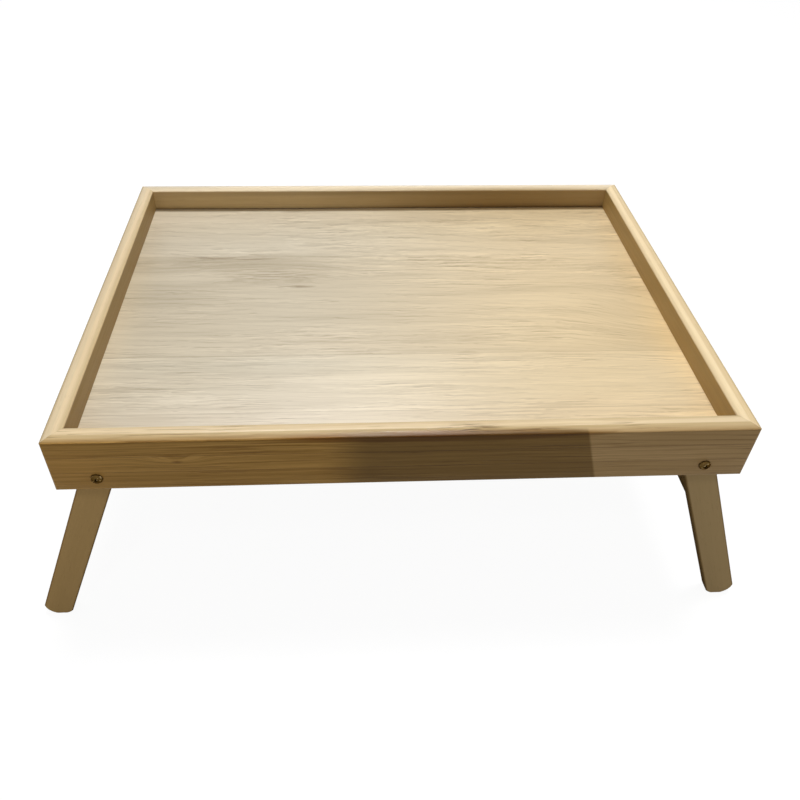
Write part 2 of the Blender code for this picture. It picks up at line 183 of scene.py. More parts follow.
class Workpiece:
    """A piece on the bench, shaped with Blender's own operators."""

    def __init__(self, shape: bpy.types.Object) -> None:
        """Take an object as the piece to be shaped."""
        self.shape = shape

    @classmethod
    def block(cls, name: str, low: Vector, high: Vector) -> "Workpiece":
        """Start from a block.

        Args:
            name: The name of the piece.
            low: Its lowest corner.
            high: Its highest corner.

        Returns:
            The block as a workpiece.
        """
        bpy.ops.object.select_all(action="DESELECT")
        bpy.ops.mesh.primitive_cube_add(size=1.0, location=(low + high) / 2, scale=high - low)
        return cls.started(name)

    @classmethod
    def rod(cls, name: str, radius: float, start: float, end: float, sides: int = 48) -> "Workpiece":
        """Start from a rod along Y.

        Args:
            name: The name of the piece.
            radius: The rod's radius, out to its corners.
            start: Where it starts along Y.
            end: Where it ends along Y.
            sides: How many flat sides it has.

        Returns:
            The rod as a workpiece.
        """
        bpy.ops.object.select_all(action="DESELECT")
        bpy.ops.mesh.primitive_cylinder_add(
            vertices=sides,
            radius=radius,
            depth=end - start,
            location=(0, (start + end) / 2, 0),
            rotation=(QUARTER_TURN, 0, 0),
        )
        return cls.started(name)

    @classmethod
    def started(cls, name: str) -> "Workpiece":
        """Take up the primitive that was just added, and put its place into its mesh.

        Args:
            name: The name of the piece.

        Returns:
            The primitive as a workpiece.
        """
        shape = bpy.context.active_object
        shape.name = shape.data.name = name
        bpy.ops.object.transform_apply(location=True, rotation=True, scale=True)
        return cls(shape)

    def copy(self, name: str) -> "Workpiece":
        """Make another piece of the same shape, with its own mesh.

        Args:
            name: The name of the new piece.

        Returns:
            The new piece.
        """
        shape = self.shape.copy()
        shape.data = self.shape.data.copy()
        shape.name = shape.data.name = name
        bpy.context.scene.collection.objects.link(shape)
        return Workpiece(shape)

    def discard(self) -> None:
        """Take the piece off the bench for good."""
        bpy.data.objects.remove(self.shape)

    def activate(self) -> None:
        """Make this the only selected object, and the active one."""
        bpy.ops.object.select_all(action="DESELECT")
        self.shape.select_set(True)
        bpy.context.view_layer.objects.active = self.shape

    @contextmanager
    def editing(self, part: Part, test: Test) -> Iterator[None]:
        """Open the piece in edit mode with only some of it selected.

        Args:
            part: Whether edges or faces are tested.
            test: Takes an edge's two ends, or a face's centre and normal, and says whether it is
                selected.

        Yields:
            Once, while the piece is open.
        """
        self.activate()
        bpy.ops.object.mode_set(mode="EDIT")
        bpy.ops.mesh.select_mode(type=part.value)
        bpy.ops.mesh.select_all(action="DESELECT")
        mesh = bmesh.from_edit_mesh(self.shape.data)
        if part is Part.EDGES:
            for edge in mesh.edges:
                edge.select_set(test(edge.verts[0].co, edge.verts[1].co))
        else:
            for face in mesh.faces:
                face.select_set(test(face.calc_center_median(), face.normal))
        bmesh.update_edit_mesh(self.shape.data)
        yield
        bpy.ops.object.mode_set(mode="OBJECT")

    def bevel(self, test: Test, width: float, segments: int) -> None:
        """Bevel the edges that pass a test, by a width and with a number of faces across."""
        with self.editing(Part.EDGES, test):
            bpy.ops.mesh.bevel(offset=width, segments=segments, affect="EDGES", clamp_overlap=True)

    def bevel_ends(self, ends: tuple[float, float], width: float, segments: int) -> None:
        """Bevel the edges round both ends of a piece that lies along Y."""
        for end in ends:
            self.bevel(at_level(1, end), width, segments)

    def inset(self, test: Test, rim: float, depth: float, each: bool = False) -> None:
        """Inset the faces that pass a test, together or each by itself, and raise them by a depth."""
        with self.editing(Part.FACES, test):
            bpy.ops.mesh.inset(thickness=rim, depth=depth, use_individual=each)

    def extrude(self, test: Test, offset: Vector) -> None:
        """Extrude the faces that pass a test along an offset."""
        with self.editing(Part.FACES, test):
            bpy.ops.mesh.extrude_region_move(TRANSFORM_OT_translate={"value": offset})

    def resize(self, test: Test, factors: Vector, centre: Vector) -> None:
        """Resize the faces that pass a test about a centre."""
        with self.editing(Part.FACES, test):
            bpy.ops.transform.resize(value=factors, center_override=centre)

    def bisect(self, point: Vector, normal: Vector, remove: bool = True) -> None:
        """Cut along a plane.

        Args:
            point: A point of the plane.
            normal: The side that the plane faces.
            remove: Whether what lies on that side is removed and the cut closed.
        """
        with self.editing(Part.FACES, lambda centre, facing: True):
            bpy.ops.mesh.bisect(
                plane_co=point, plane_no=normal, use_fill=remove, clear_outer=remove, threshold=TOUCH
            )

    def shave(self, profile: list[Vector], along: Vector) -> None:
        """Cut a convex profile with one plane through each pair of its points.

        Args:
            profile: Points in order, with the wood that stays to their right, seen along the cut.
            along: The direction of the cut.
        """
        for first, second in zip(profile, profile[1:]):
            self.bisect(first, along.cross(second - first).normalized())

    def apply(self, modifier: bpy.types.Modifier) -> None:
        """Apply a modifier of the piece."""
        self.activate()
        bpy.ops.object.modifier_apply(modifier=modifier.name)

    def apply_tool(self, tool: "Workpiece", operation: Operation) -> None:
        """Cut, join or intersect the piece with a tool.

        Args:
            tool: The tool, which is used up.
            operation: What the tool does to the piece.
        """
        modifier = self.shape.modifiers.new(operation.name.lower(), "BOOLEAN")
        modifier.operation = operation.value
        modifier.solver = "EXACT"
        modifier.object = tool.shape
        self.apply(modifier)
        tool.discard()

    def bore(self, radius: float, centre: Vector = ORIGIN, reach: float = BORE_REACH) -> None:
        """Bore right through the piece along Y, with a tool that reaches to both sides of a centre."""
        tool = Workpiece.rod("bore", radius, -reach, reach)
        self.apply_tool(tool.place(centre), Operation.CUT)

    def place(self, location: Vector = ORIGIN, turn: Vector = ORIGIN) -> "Workpiece":
        """Turn the piece about the origin, move it, and put both into its mesh.

        Args:
            location: How far it is moved.
            turn: Its turns about X, Y and Z.

        Returns:
            The same piece.
        """
        self.shape.rotation_euler = turn
        self.shape.location = location
        self.activate()
        bpy.ops.object.transform_apply(location=True, rotation=True, scale=True)
        return self

    def close(self) -> None:
        """Close the seams and turn the faces outwards."""
        self.activate()
        bpy.ops.object.mode_set(mode="EDIT")
        bpy.ops.mesh.select_all(action="SELECT")
        bpy.ops.mesh.remove_doubles(threshold=TOUCH)
        bpy.ops.mesh.normals_make_consistent(inside=False)
        bpy.ops.object.mode_set(mode="OBJECT")

    def finish(self, material: bpy.types.Material, body: str, node: str, slot: str) -> None:
        """Close, smooth and dress the piece, and let it stand for a node of the frame.

        Args:
            material: The finish that it wears.
            body: The body that it rides on.
            node: The node that it replaces.
            slot: The record's material slot; not used.
        """
        self.close()
        bpy.ops.object.shade_smooth_by_angle(angle=SMOOTH_ANGLE)
        self.shape.data.materials.clear()
        self.shape.data.materials.append(material)
        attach(self.shape, body)
        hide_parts(node)
        LOG.info("%s: %d faces on body %s", self.shape.name, len(self.shape.data.polygons), body)


class Graph:
    """The nodes of one material or world, with a short call for each kind of node."""

    def __init__(self, owner: bpy.types.Material | bpy.types.World) -> None:
        """Start the nodes of a material or a world afresh.

        Args:
            owner: The material or world, whose own nodes are removed.
        """
        owner.use_nodes = True
        self.tree = owner.node_tree
        self.tree.nodes.clear()

    @cached_property
    def place(self) -> Socket:
        """Return the place on the object, in millimetres."""
        place = self.add("ShaderNodeTexCoord", {}).outputs["Object"]
        return self.vector("MULTIPLY", place, (MILLIMETRES,) * 3)

    def add(self, kind: str, inputs: dict[str | int, Value], **settings: object) -> bpy.types.Node:
        """Add a node.

        Args:
            kind: The node's type.
            inputs: A socket or a constant for each input, by its name or number.
            **settings: The node's own settings.

        Returns:
            The node.
        """
        node = self.tree.nodes.new(kind)
        for name, value in settings.items():
            setattr(node, name, value)
        for key, value in inputs.items():
            if isinstance(value, Socket):
                self.tree.links.new(value, node.inputs[key])
            else:
                node.inputs[key].default_value = value
        return node

    def math(self, operation: str, *values: Value, clamp: bool = False) -> Socket:
        """Return the result of a sum on one, two or three values."""
        inputs = dict(enumerate(values))
        return self.add("ShaderNodeMath", inputs, operation=operation, use_clamp=clamp).outputs[0]

    def vector(self, operation: str, *values: Value) -> Socket:
        """Return the result of a sum on vectors."""
        node = self.add("ShaderNodeVectorMath", dict(enumerate(values)), operation=operation)
        return node.outputs["Value" if operation in ("LENGTH", "DOT_PRODUCT") else "Vector"]

    def split(self, vector: Socket) -> tuple[Socket, Socket, Socket]:
        """Return a vector's three numbers."""
        return tuple(self.add("ShaderNodeSeparateXYZ", {0: vector}).outputs)

    def join(self, x: Value, y: Value, z: Value) -> Socket:
        """Return a vector of three numbers."""
        return self.add("ShaderNodeCombineXYZ", {0: x, 1: y, 2: z}).outputs[0]

    def noise(self, vector: Socket, detail: float = 2.0, roughness: float = 0.5) -> Socket:
        """Return noise from 0 to 1 whose features are about one unit wide."""
        inputs = {"Vector": vector, "Scale": 1.0, "Detail": detail, "Roughness": roughness}
        return self.add("ShaderNodeTexNoise", inputs).outputs[0]

    def noise_vector(self, vector: Socket, detail: float) -> Socket:
        """Return three independent noises from about -0.5 to 0.5."""
        node = self.add("ShaderNodeTexNoise", {"Vector": vector, "Scale": 1.0, "Detail": detail})
        return self.vector("SUBTRACT", node.outputs[1], (0.5, 0.5, 0.5))

    def stretched(self, place: Socket, length: float, width: float) -> Socket:
        """Return a place counted in lengths along X and in widths across it."""
        return self.vector("MULTIPLY", place, (1 / length, 1 / width, 1 / width))

    def sway(self, base: Value, noise: Value, strength: Value, clamp: bool = False) -> Socket:
        """Return a base that a noise moves up and down about its own middle."""
        return self.math("MULTIPLY_ADD", self.math("SUBTRACT", noise, 0.5), strength, base, clamp=clamp)

    def spread(self, value: Value, low: float, high: float, start: float = 0.0, end: float = 1.0) -> Socket:
        """Return a value mapped smoothly from one range to another, and held at its ends."""
        inputs = {"Value": value, "From Min": low, "From Max": high, "To Min": start, "To Max": end}
        return self.add("ShaderNodeMapRange", inputs, interpolation_type="SMOOTHSTEP").outputs[0]

    def blend(self, factor: Value, first: Value, second: Value, mode: str = "MIX") -> Socket:
        """Blend two colours.

        Args:
            factor: How much of the second colour there is, from 0 to 1.
            first: The first colour.
            second: The second colour.
            mode: The node's way of blending.

        Returns:
            The blended colour.
        """
        node = self.add("ShaderNodeMix", {}, data_type="RGBA", blend_type=mode)
        for socket, value in zip((node.inputs[0], node.inputs[6], node.inputs[7]), (factor, first, second)):
            if isinstance(value, Socket):
                self.tree.links.new(value, socket)
            elif isinstance(value, tuple):
                socket.default_value = (*value, 1.0)
            else:
                socket.default_value = value
        return node.outputs[2]

    def tint(self, factor: Value, colour: Value, tone: Value) -> Socket:
        """Return a colour multiplied by a tone, as far as a factor says."""
        return self.blend(factor, colour, tone, "MULTIPLY")

    def bump(self, height: Socket, distance: float, strength: float) -> Socket:
        """Return the normal of a surface with a relief on it."""
        inputs = {"Strength": strength, "Distance": distance, "Height": height}
        return self.add("ShaderNodeBump", inputs).outputs[0]

    def mix(self, factor: Socket, first: bpy.types.Node, second: bpy.types.Node) -> bpy.types.Node:
        """Return a mix of two shaders."""
        return self.add("ShaderNodeMixShader", {0: factor, 1: first.outputs[0], 2: second.outputs[0]})

    def surface(self, inputs: dict[str | int, Value]) -> None:
        """Dress the surface with a principled shader."""
        shader = self.add("ShaderNodeBsdfPrincipled", inputs)
        self.add("ShaderNodeOutputMaterial", {"Surface": shader.outputs[0]})


@dataclass(frozen=True)
class Sawn:
    """How a piece lies in its board: what turns its length onto X, and which stretch it shows."""

    turn: Triple = NO_TURN
    shift: Triple = (0.0, 0.0, 0.0)


@dataclass(frozen=True)
class Spot:
    """A stretch of wood that differs from the rest: some spots are its own figure and tone, and others are
    painted shade and painted light.

    Its tint fades out to its edge over the soft part of its radius, and is broken up by streaks. Its
    swirl is how far it pulls the grain, and its grain is how much more the fibres stand out in it.
    """

    place: Triple
    size: Triple
    tint: Colour = WHITE
    soft: float = 1.0
    streaks: float = 0.0
    streak_length: float = 24.0
    streak_width: float = 1.6
    streak_from: float = 0.46
    streak_to: float = 0.58
    swirl: Triple = (0.0, 0.0, 0.0)
    grain: float = 0.0

    def nearness(self, graph: Graph) -> Socket:
        """Return 1 at the spot's heart, fading to 0 at its edge."""
        offset = graph.vector("DIVIDE", graph.vector("SUBTRACT", graph.place, self.place), self.size)
        return graph.spread(graph.vector("LENGTH", offset), 1.0 - self.soft, 1.0, 1.0, 0.0)

    def mask(self, graph: Graph) -> Socket:
        """Find how much of its tint the wood takes.

        Args:
            graph: The nodes of the wood's material.

        Returns:
            The share, from 0 to 1.
        """
        streaks = graph.noise(graph.stretched(graph.place, self.streak_length, self.streak_width))
        broken = graph.spread(streaks, self.streak_from, self.streak_to, 1.0 - self.streaks, 1.0)
        return graph.math("MULTIPLY", self.nearness(graph), broken)


@dataclass(frozen=True)
class Wood:
    """A wood with growth rings, fibres and pores, under a thin satin lacquer."""

    pale: Colour
    dark: Colour
    pore: Colour = (0.42, 0.35, 0.28)
    ring_width: float = 4.0
    ring_rise: float = 0.25
    ring_crest: float = 0.88
    ring_fall: float = 0.90
    ring_faint: float = 0.3
    ring_bold: float = 0.7
    ring_faintest: float = 0.2
    ring_strength: float = 0.30
    ring_relief: float = 0.3
    pith_side: float = 10.0
    pith_depth: float = 60.0
    pith_lean: float = 0.02
    wander: float = 5.0
    wander_length: float = 110.0
    wander_width: float = 38.0
    ripple: float = 0.5
    ripple_length: float = 11.0
    ripple_width: float = 5.0
    fibre_length: float = 60.0
    fibre_width: float = 3.0
    fibre_strength: float = 1.0
    fibre_calm: float = 0.0
    fibre_gloss: float = 0.14
    calm_length: float = 140.0
    calm_width: float = 20.0
    calm_below: float = 0.42
    lively_above: float = 0.62
    pore_length: float = 12.0
    pore_width: float = 0.8
    pore_share: float = 0.62
    pore_blur: float = 0.08
    pore_cluster: float = 0.04
    pore_strength: float = 0.25
    # Painted highlight: lip_highlight lightens a line just beside each pore, standing for the lit side of its
    # relief.
    lip_highlight: Colour = (1.20, 1.21, 1.24)
    lip_strength: float = 0.0
    tone_length: float = 180.0
    tone_width: float = 12.0
    tone_strength: float = 0.8
    seams: tuple[float, ...] = ()
    seam_axis: int = 1
    board_step: Triple = (317.0, -62.0, 7.0)
    board_strength: float = 0.12
    glue_width: float = 0.8
    glue_strength: float = 0.4
    roughness: float = 0.42
    specular: float = 0.12
    bump: float = 0.00006
    bump_strength: float = 0.6
    spots: tuple[Spot, ...] = ()

    def material(self, name: str, sawn: Sawn) -> bpy.types.Material:
        """Make the material.

        Args:
            name: The material's name.
            sawn: How the piece that wears it lies in its board.

        Returns:
            The material.
        """
        material = bpy.data.materials.new(name)
        graph = Graph(material)
        board, glue = self.boards(graph)
        warped = self.warped(graph, self.laid(graph, sawn, board))
        rings = self.rings(graph, warped)
        lively = self.liveliness(graph, warped)
        fibres = self.fibres(graph, warped, lively)
        pores = self.pores(graph, warped, lively)
        # Painted highlight: the pores shifted by one width give the pale lines beside them.
        lip_highlights = self.pores(graph, graph.vector("ADD", warped, (0.0, self.pore_width, 0.0)), lively)
        tone = graph.noise(graph.stretched(warped, self.tone_length, self.tone_width), 3.0)
        cut = graph.add("ShaderNodeTexWhiteNoise", {"W": board}, noise_dimensions="1D").outputs[0]
        depth = graph.math("MULTIPLY_ADD", rings, self.ring_strength, 0.5 - self.ring_strength / 3)
        depth = graph.sway(depth, fibres, self.fibre_strength)
        depth = graph.sway(depth, tone, self.tone_strength)
        depth = graph.sway(depth, cut, self.board_strength, clamp=True)
        colour = self.shade(graph, depth)
        for spot in self.spots:
            colour = graph.tint(spot.mask(graph), colour, spot.tint)
        colour = graph.tint(graph.math("MULTIPLY", lip_highlights, self.lip_strength), colour, self.lip_highlight)
        colour = graph.tint(graph.math("MULTIPLY", pores, self.pore_strength), colour, self.pore)
        colour = graph.tint(graph.math("MULTIPLY", glue, self.glue_strength), colour, self.pore)
        height = graph.math("MULTIPLY_ADD", rings, -self.ring_relief, graph.math("MULTIPLY", fibres, -1.0))
        height = graph.math("SUBTRACT", height, graph.math("ADD", pores, glue))
        graph.surface(
            {
                "Base Color": colour,
                "Roughness": graph.sway(self.polish(graph), fibres, self.fibre_gloss),
                "Specular IOR Level": self.specular,
                "Normal": graph.bump(height, self.bump, self.bump_strength),
            }
        )
        return material

    def boards(self, graph: Graph) -> tuple[Value, Value]:
        """Tell the glued-up boards apart.

        Args:
            graph: The nodes of the material.

        Returns:
            The number of the board, and 1 on the glue lines between boards.
        """
        across = graph.split(graph.place)[self.seam_axis]
        board: Value = 0.0
        glue: Value = 0.0
        for seam in self.seams:
            board = graph.math("ADD", board, graph.math("GREATER_THAN", across, seam))
            glue = graph.math("ADD", glue, graph.math("COMPARE", across, seam, self.glue_width / 2))
        return board, glue

    def laid(self, graph: Graph, sawn: Sawn, board: Value) -> Socket:
        """Find the place in the board that the piece was sawn from.

        Args:
            graph: The nodes of the material.
            sawn: How the piece lies in its board.
            board: The number of the board.

        Returns:
            The place, with the grain along X.
        """
        inputs = {"Vector": graph.place, "Rotation": sawn.turn, "Location": sawn.shift}
        grain = graph.add("ShaderNodeMapping", inputs).outputs[0]
        step = graph.vector("MULTIPLY", graph.join(board, board, board), self.board_step)
        return graph.vector("ADD", grain, step)

    def warped(self, graph: Graph, grain: Socket) -> Socket:
        """Give the grain the slow wander of a real trunk and a fine ripple.

        Args:
            graph: The nodes of the material.
            grain: The place in the board.

        Returns:
            The place with the wander in it.
        """
        slow = graph.noise_vector(graph.stretched(grain, self.wander_length, self.wander_width), 2.0)
        fine = graph.noise_vector(graph.stretched(grain, self.ripple_length, self.ripple_width), 1.0)
        drift = graph.vector("MULTIPLY", slow, (0.0, self.wander, self.wander))
        drift = graph.vector("MULTIPLY_ADD", fine, (0.0, self.ripple, self.ripple), drift)
        for spot in self.spots:
            if any(spot.swirl):
                close = spot.nearness(graph)
                drift = graph.vector("MULTIPLY_ADD", graph.join(close, close, close), spot.swirl, drift)
        return graph.vector("ADD", grain, drift)

    def rings(self, graph: Graph, warped: Socket) -> Socket:
        """Lay the growth rings round the pith.

        Args:
            graph: The nodes of the material.
            warped: The place in the wandering grain.

        Returns:
            From 0 in early wood to 1 at a ring's dense end.
        """
        x, y, z = graph.split(warped)
        side = graph.math("SUBTRACT", y, self.pith_side)
        deep = graph.math("ADD", graph.math("MULTIPLY_ADD", x, self.pith_lean, self.pith_depth), z)
        reach = graph.vector("LENGTH", graph.join(0.0, side, deep))
        count = graph.math("DIVIDE", reach, self.ring_width)
        within = graph.math("FRACT", count)
        rise = graph.spread(within, self.ring_rise, self.ring_crest)
        fall = graph.spread(within, self.ring_fall, 1.0, 1.0, 0.0)
        vigour = graph.noise(graph.join(count, 0.0, 0.0), 1.0)
        vigour = graph.spread(vigour, self.ring_faint, self.ring_bold, self.ring_faintest)
        return graph.math("MULTIPLY", graph.math("MULTIPLY", rise, fall), vigour)

    def liveliness(self, graph: Graph, warped: Socket) -> Socket:
        """Find how much the fibres and pores stand out.

        Args:
            graph: The nodes of the material.
            warped: The place in the wandering grain.

        Returns:
            The factor, 1 on average.
        """
        lively = graph.noise(graph.stretched(warped, self.calm_length, self.calm_width), 1.0)
        least, most = 1.0 - self.fibre_calm, 1.0 + self.fibre_calm
        lively = graph.spread(lively, self.calm_below, self.lively_above, least, most)
        for spot in self.spots:
            if spot.grain:
                lively = graph.math("MULTIPLY_ADD", spot.nearness(graph), spot.grain, lively)
        return lively

    def fibres(self, graph: Graph, warped: Socket, lively: Socket) -> Socket:
        """Return long fine fibres, which are fainter over calm stretches of the wood."""
        fibres = graph.noise(graph.stretched(warped, self.fibre_length, self.fibre_width), 3.0, 0.6)
        return graph.sway(0.5, fibres, lively)

    def pores(self, graph: Graph, warped: Socket, lively: Socket) -> Socket:
        """Lay short dark pores along the grain, thicker where it is lively.

        Args:
            graph: The nodes of the material.
            warped: The place in the wandering grain.
            lively: How much the grain stands out.

        Returns:
            1 in the pores and 0 between them.
        """
        dashes = graph.noise(graph.stretched(warped, self.pore_length, self.pore_width), 1.0)
        dashes = graph.math("MULTIPLY_ADD", graph.math("SUBTRACT", lively, 1.0), self.pore_cluster, dashes)
        return graph.spread(dashes, self.pore_share, self.pore_share + self.pore_blur)

    def shade(self, graph: Graph, depth: Socket) -> Socket:
        """Return the colour of the wood, between pale and dark."""
        return graph.blend(depth, self.pale, self.dark)

    def polish(self, graph: Graph) -> Value:
        """Return the roughness about which the fibres vary."""
        return self.roughness


@dataclass(frozen=True)
class RailWood(Wood):
    """A rail glued up from three boards, with a smoother rim. Its paler rim is partly painted light on the
    lit top, the tones of its outer strip, inner hem and shoulder are painted shade that leaves a painted
    highlight ridge on the rim, and its faces' tones are partly painted shade.
    """

    seams: tuple[float, ...] = (207.0, 223.0)
    seam_axis: int = 2
    face: Colour = WHITE
    # The rim's colours are paler than the faces' wood: partly painted light on the lit top.
    rim_pale: Colour = (0.80, 0.62, 0.38)
    rim_dark: Colour = (0.62, 0.44, 0.23)
    rim_start: float = 237.4
    rim_end: float = 239.0
    rim_roughness: float = 0.28
    # strip and hem place painted shade on the rim's outer slope and inner edge, leaving a painted highlight
    # ridge between them; the shoulder tone is painted shade on the faces' rounded top.
    strip: float = 6.2
    strip_blur: float = 0.5
    strip_tone: Colour = WHITE
    hem_from: float = 8.5
    hem_to: float = 13.0
    hem_shade_tone: Colour = WHITE
    shoulder_from: float = 236.4
    shoulder_to: float = 237.6
    shoulder_tone: Colour = WHITE
    outward: Triple = (0.0, -1.0, 0.0)
    reach: float = 190.0

    def shade(self, graph: Graph, depth: Socket) -> Socket:
        """Colour the faces below the rim, with painted shade on the shoulder, and the rim, partly painted
        light, with painted shade on its outer strip and its inner hem.

        Args:
            graph: The nodes of the material.
            depth: How dark the wood is, from 0 to 1.

        Returns:
            The colour.
        """
        face = graph.tint(1.0, super().shade(graph, depth), self.face_tone(graph))
        shoulder = graph.spread(graph.split(graph.place)[2], self.shoulder_from, self.shoulder_to)
        face = graph.tint(shoulder, face, self.shoulder_tone)
        inward = graph.math("SUBTRACT", self.reach, graph.vector("DOT_PRODUCT", graph.place, self.outward))
        hem_shade = graph.blend(graph.spread(inward, self.hem_from, self.hem_to), WHITE, self.hem_shade_tone)
        inner = graph.spread(inward, self.strip - self.strip_blur, self.strip + self.strip_blur)
        tone = graph.blend(inner, self.strip_tone, hem_shade)
        rim = graph.tint(1.0, graph.blend(depth, self.rim_pale, self.rim_dark), tone)
        return graph.blend(self.rimmed(graph), face, rim)

    def polish(self, graph: Graph) -> Value:
        """Return a lower roughness on the rim than on the faces."""
        smoother = self.rim_roughness - self.roughness
        return graph.math("MULTIPLY_ADD", self.rimmed(graph), smoother, self.roughness)

    def rimmed(self, graph: Graph) -> Socket:
        """Return 1 on the rim and 0 below it."""
        return graph.spread(graph.split(graph.place)[2], self.rim_start, self.rim_end)

    def face_tone(self, graph: Graph) -> Value:
        """Return the tone of the rail's faces."""
        return self.face


@dataclass(frozen=True)
class StavedRailWood(RailWood):
    """A rail whose faces are darker over a middle stretch and greyish past a leaning line."""

    dark_from: float = -68.0
    dark_to: float = -25.0
    joint: float = 131.0
    joint_lean: float = 0.28
    joint_blur: float = 1.2
    middle: Colour = (0.435, 0.425, 0.345)
    right: Colour = (0.96, 1.07, 1.52)

    def face_tone(self, graph: Graph) -> Value:
        """Tone the faces: plain, then dark, then greyish past a leaning line.

        Args:
            graph: The nodes of the material.

        Returns:
            The tone.
        """
        along, _, height = graph.split(graph.place)
        dark = graph.blend(graph.spread(along, self.dark_from, self.dark_to), self.face, self.middle)
        foot = self.joint + self.joint_lean * self.rim_start
        joint = graph.math("MULTIPLY_ADD", height, -self.joint_lean, foot)
        past = graph.spread(graph.math("SUBTRACT", along, joint), -self.joint_blur, self.joint_blur)
        return graph.blend(past, dark, self.right)


@dataclass(frozen=True)
class LegWood(Wood):
    """A leg's wood, with painted shade on its rounded edges and narrow sides."""

    across: Triple = (1.0, 0.0, 0.0)
    middle: float = 0.0
    edge_from: float = 10.6
    edge_to: float = 12.0
    # Painted shade on the rounded edges and narrow sides.
    side_shade_tone: Colour = (0.60, 0.54, 0.44)

    def shade(self, graph: Graph, depth: Socket) -> Socket:
        """Colour the wood, with painted shade far from the plane through the leg's middle.

        Args:
            graph: The nodes of the material.
            depth: How dark the wood is, from 0 to 1.

        Returns:
            The colour.
        """
        offset = graph.math("SUBTRACT", graph.vector("DOT_PRODUCT", graph.place, self.across), self.middle)
        edge = graph.spread(graph.math("ABSOLUTE", offset), self.edge_from, self.edge_to)
        return graph.tint(edge, super().shade(graph, depth), self.side_shade_tone)


@dataclass(frozen=True)
class PanelVeneer(Wood):
    """Pale veneer that is greyish on the left and warmer to the right."""

    left: Colour = (0.97, 1.005, 1.05)
    right: Colour = (1.17, 1.10, 0.94)
    turn_from: float = -120.0
    turn_to: float = 200.0
    middle_board: Colour = (0.95, 0.94, 0.92)
    opening: float = 0.3
    opening_span: float = 350.0

    def warped(self, graph: Graph, grain: Socket) -> Socket:
        """Open the grain up towards the back, besides its wander.

        Args:
            graph: The nodes of the material.
            grain: The place in the board.

        Returns:
            The place with the wander in it.
        """
        across = graph.split(graph.place)[1]
        growth = graph.math("MULTIPLY_ADD", across, 1 / self.opening_span, 1.0)
        squeeze = graph.math("MULTIPLY", graph.math("MULTIPLY", across, growth), -self.opening)
        return super().warped(graph, graph.vector("ADD", grain, graph.join(0.0, squeeze, 0.0)))

    def shade(self, graph: Graph, depth: Socket) -> Socket:
        """Colour the veneer, with the middle board a little darker than the others.

        Args:
            graph: The nodes of the material.
            depth: How dark the wood is, from 0 to 1.

        Returns:
            The colour.
        """
        along, across, _ = graph.split(graph.place)
        tone = graph.blend(graph.spread(along, self.turn_from, self.turn_to), self.left, self.right)
        plain = graph.tint(1.0, super().shade(graph, depth), tone)
        _, low, high = self.seams
        behind = graph.math("GREATER_THAN", across, low)
        before = graph.math("LESS_THAN", across, high)
        return graph.tint(graph.math("MULTIPLY", behind, before), plain, self.middle_board)


@dataclass(frozen=True)
class Metal:
    """A metal with a fine mottle and spots of a second colour: wear on the nut, and painted glints on the
    screw.
    """

    colour: Colour
    worn: Colour
    edge: Colour
    roughness: float
    mottle: float = 0.2
    grain_size: float = 0.4
    wear_size: float = 1.6
    wear_from: float = 0.56
    wear_to: float = 0.66
    bump: float = 0.00003
    bump_strength: float = 0.4

    def material(self, name: str) -> bpy.types.Material:
        """Make the material.

        Args:
            name: The material's name.

        Returns:
            The material.
        """
        material = bpy.data.materials.new(name)
        graph = Graph(material)
        mottle, wear_and_glint = (
            graph.noise(graph.stretched(graph.place, size, size), 3.0, 0.6)
            for size in (self.grain_size, self.wear_size)
        )
        graph.surface(
            {
                "Base Color": graph.blend(
                    graph.spread(wear_and_glint, self.wear_from, self.wear_to), self.colour, self.worn
                ),
                "Specular Tint": (*self.edge, 1.0),
                "Roughness": graph.sway(self.roughness, mottle, self.mottle),
                "Metallic": 1.0,
                "Normal": graph.bump(mottle, self.bump, self.bump_strength),
            }
        )
        return material


@dataclass(frozen=True)
class Nylon:
    """Moulded nylon with a faint mottle."""

    colour: Colour
    shaded: Colour
    roughness: float = 0.5
    grain_size: float = 0.8
    bump: float = 0.00002
    bump_strength: float = 0.3

    def material(self, name: str) -> bpy.types.Material:
        """Make the material.

        Args:
            name: The material's name.

        Returns:
            The material.
        """
        material = bpy.data.materials.new(name)
        graph = Graph(material)
        mottle = graph.noise(graph.stretched(graph.place, self.grain_size, self.grain_size))
        graph.surface(
            {
                "Base Color": graph.blend(mottle, self.colour, self.shaded),
                "Roughness": self.roughness,
                "Normal": graph.bump(mottle, self.bump, self.bump_strength),
            }
        )
        return material


def patch(x: float, y: float, half_length: float, half_width: float, **traits: object) -> Spot:
    """Return a spot that goes right through the panel."""
    return Spot((x, y, PANEL_LEVEL), (half_length, half_width, ALL_THROUGH), **traits)
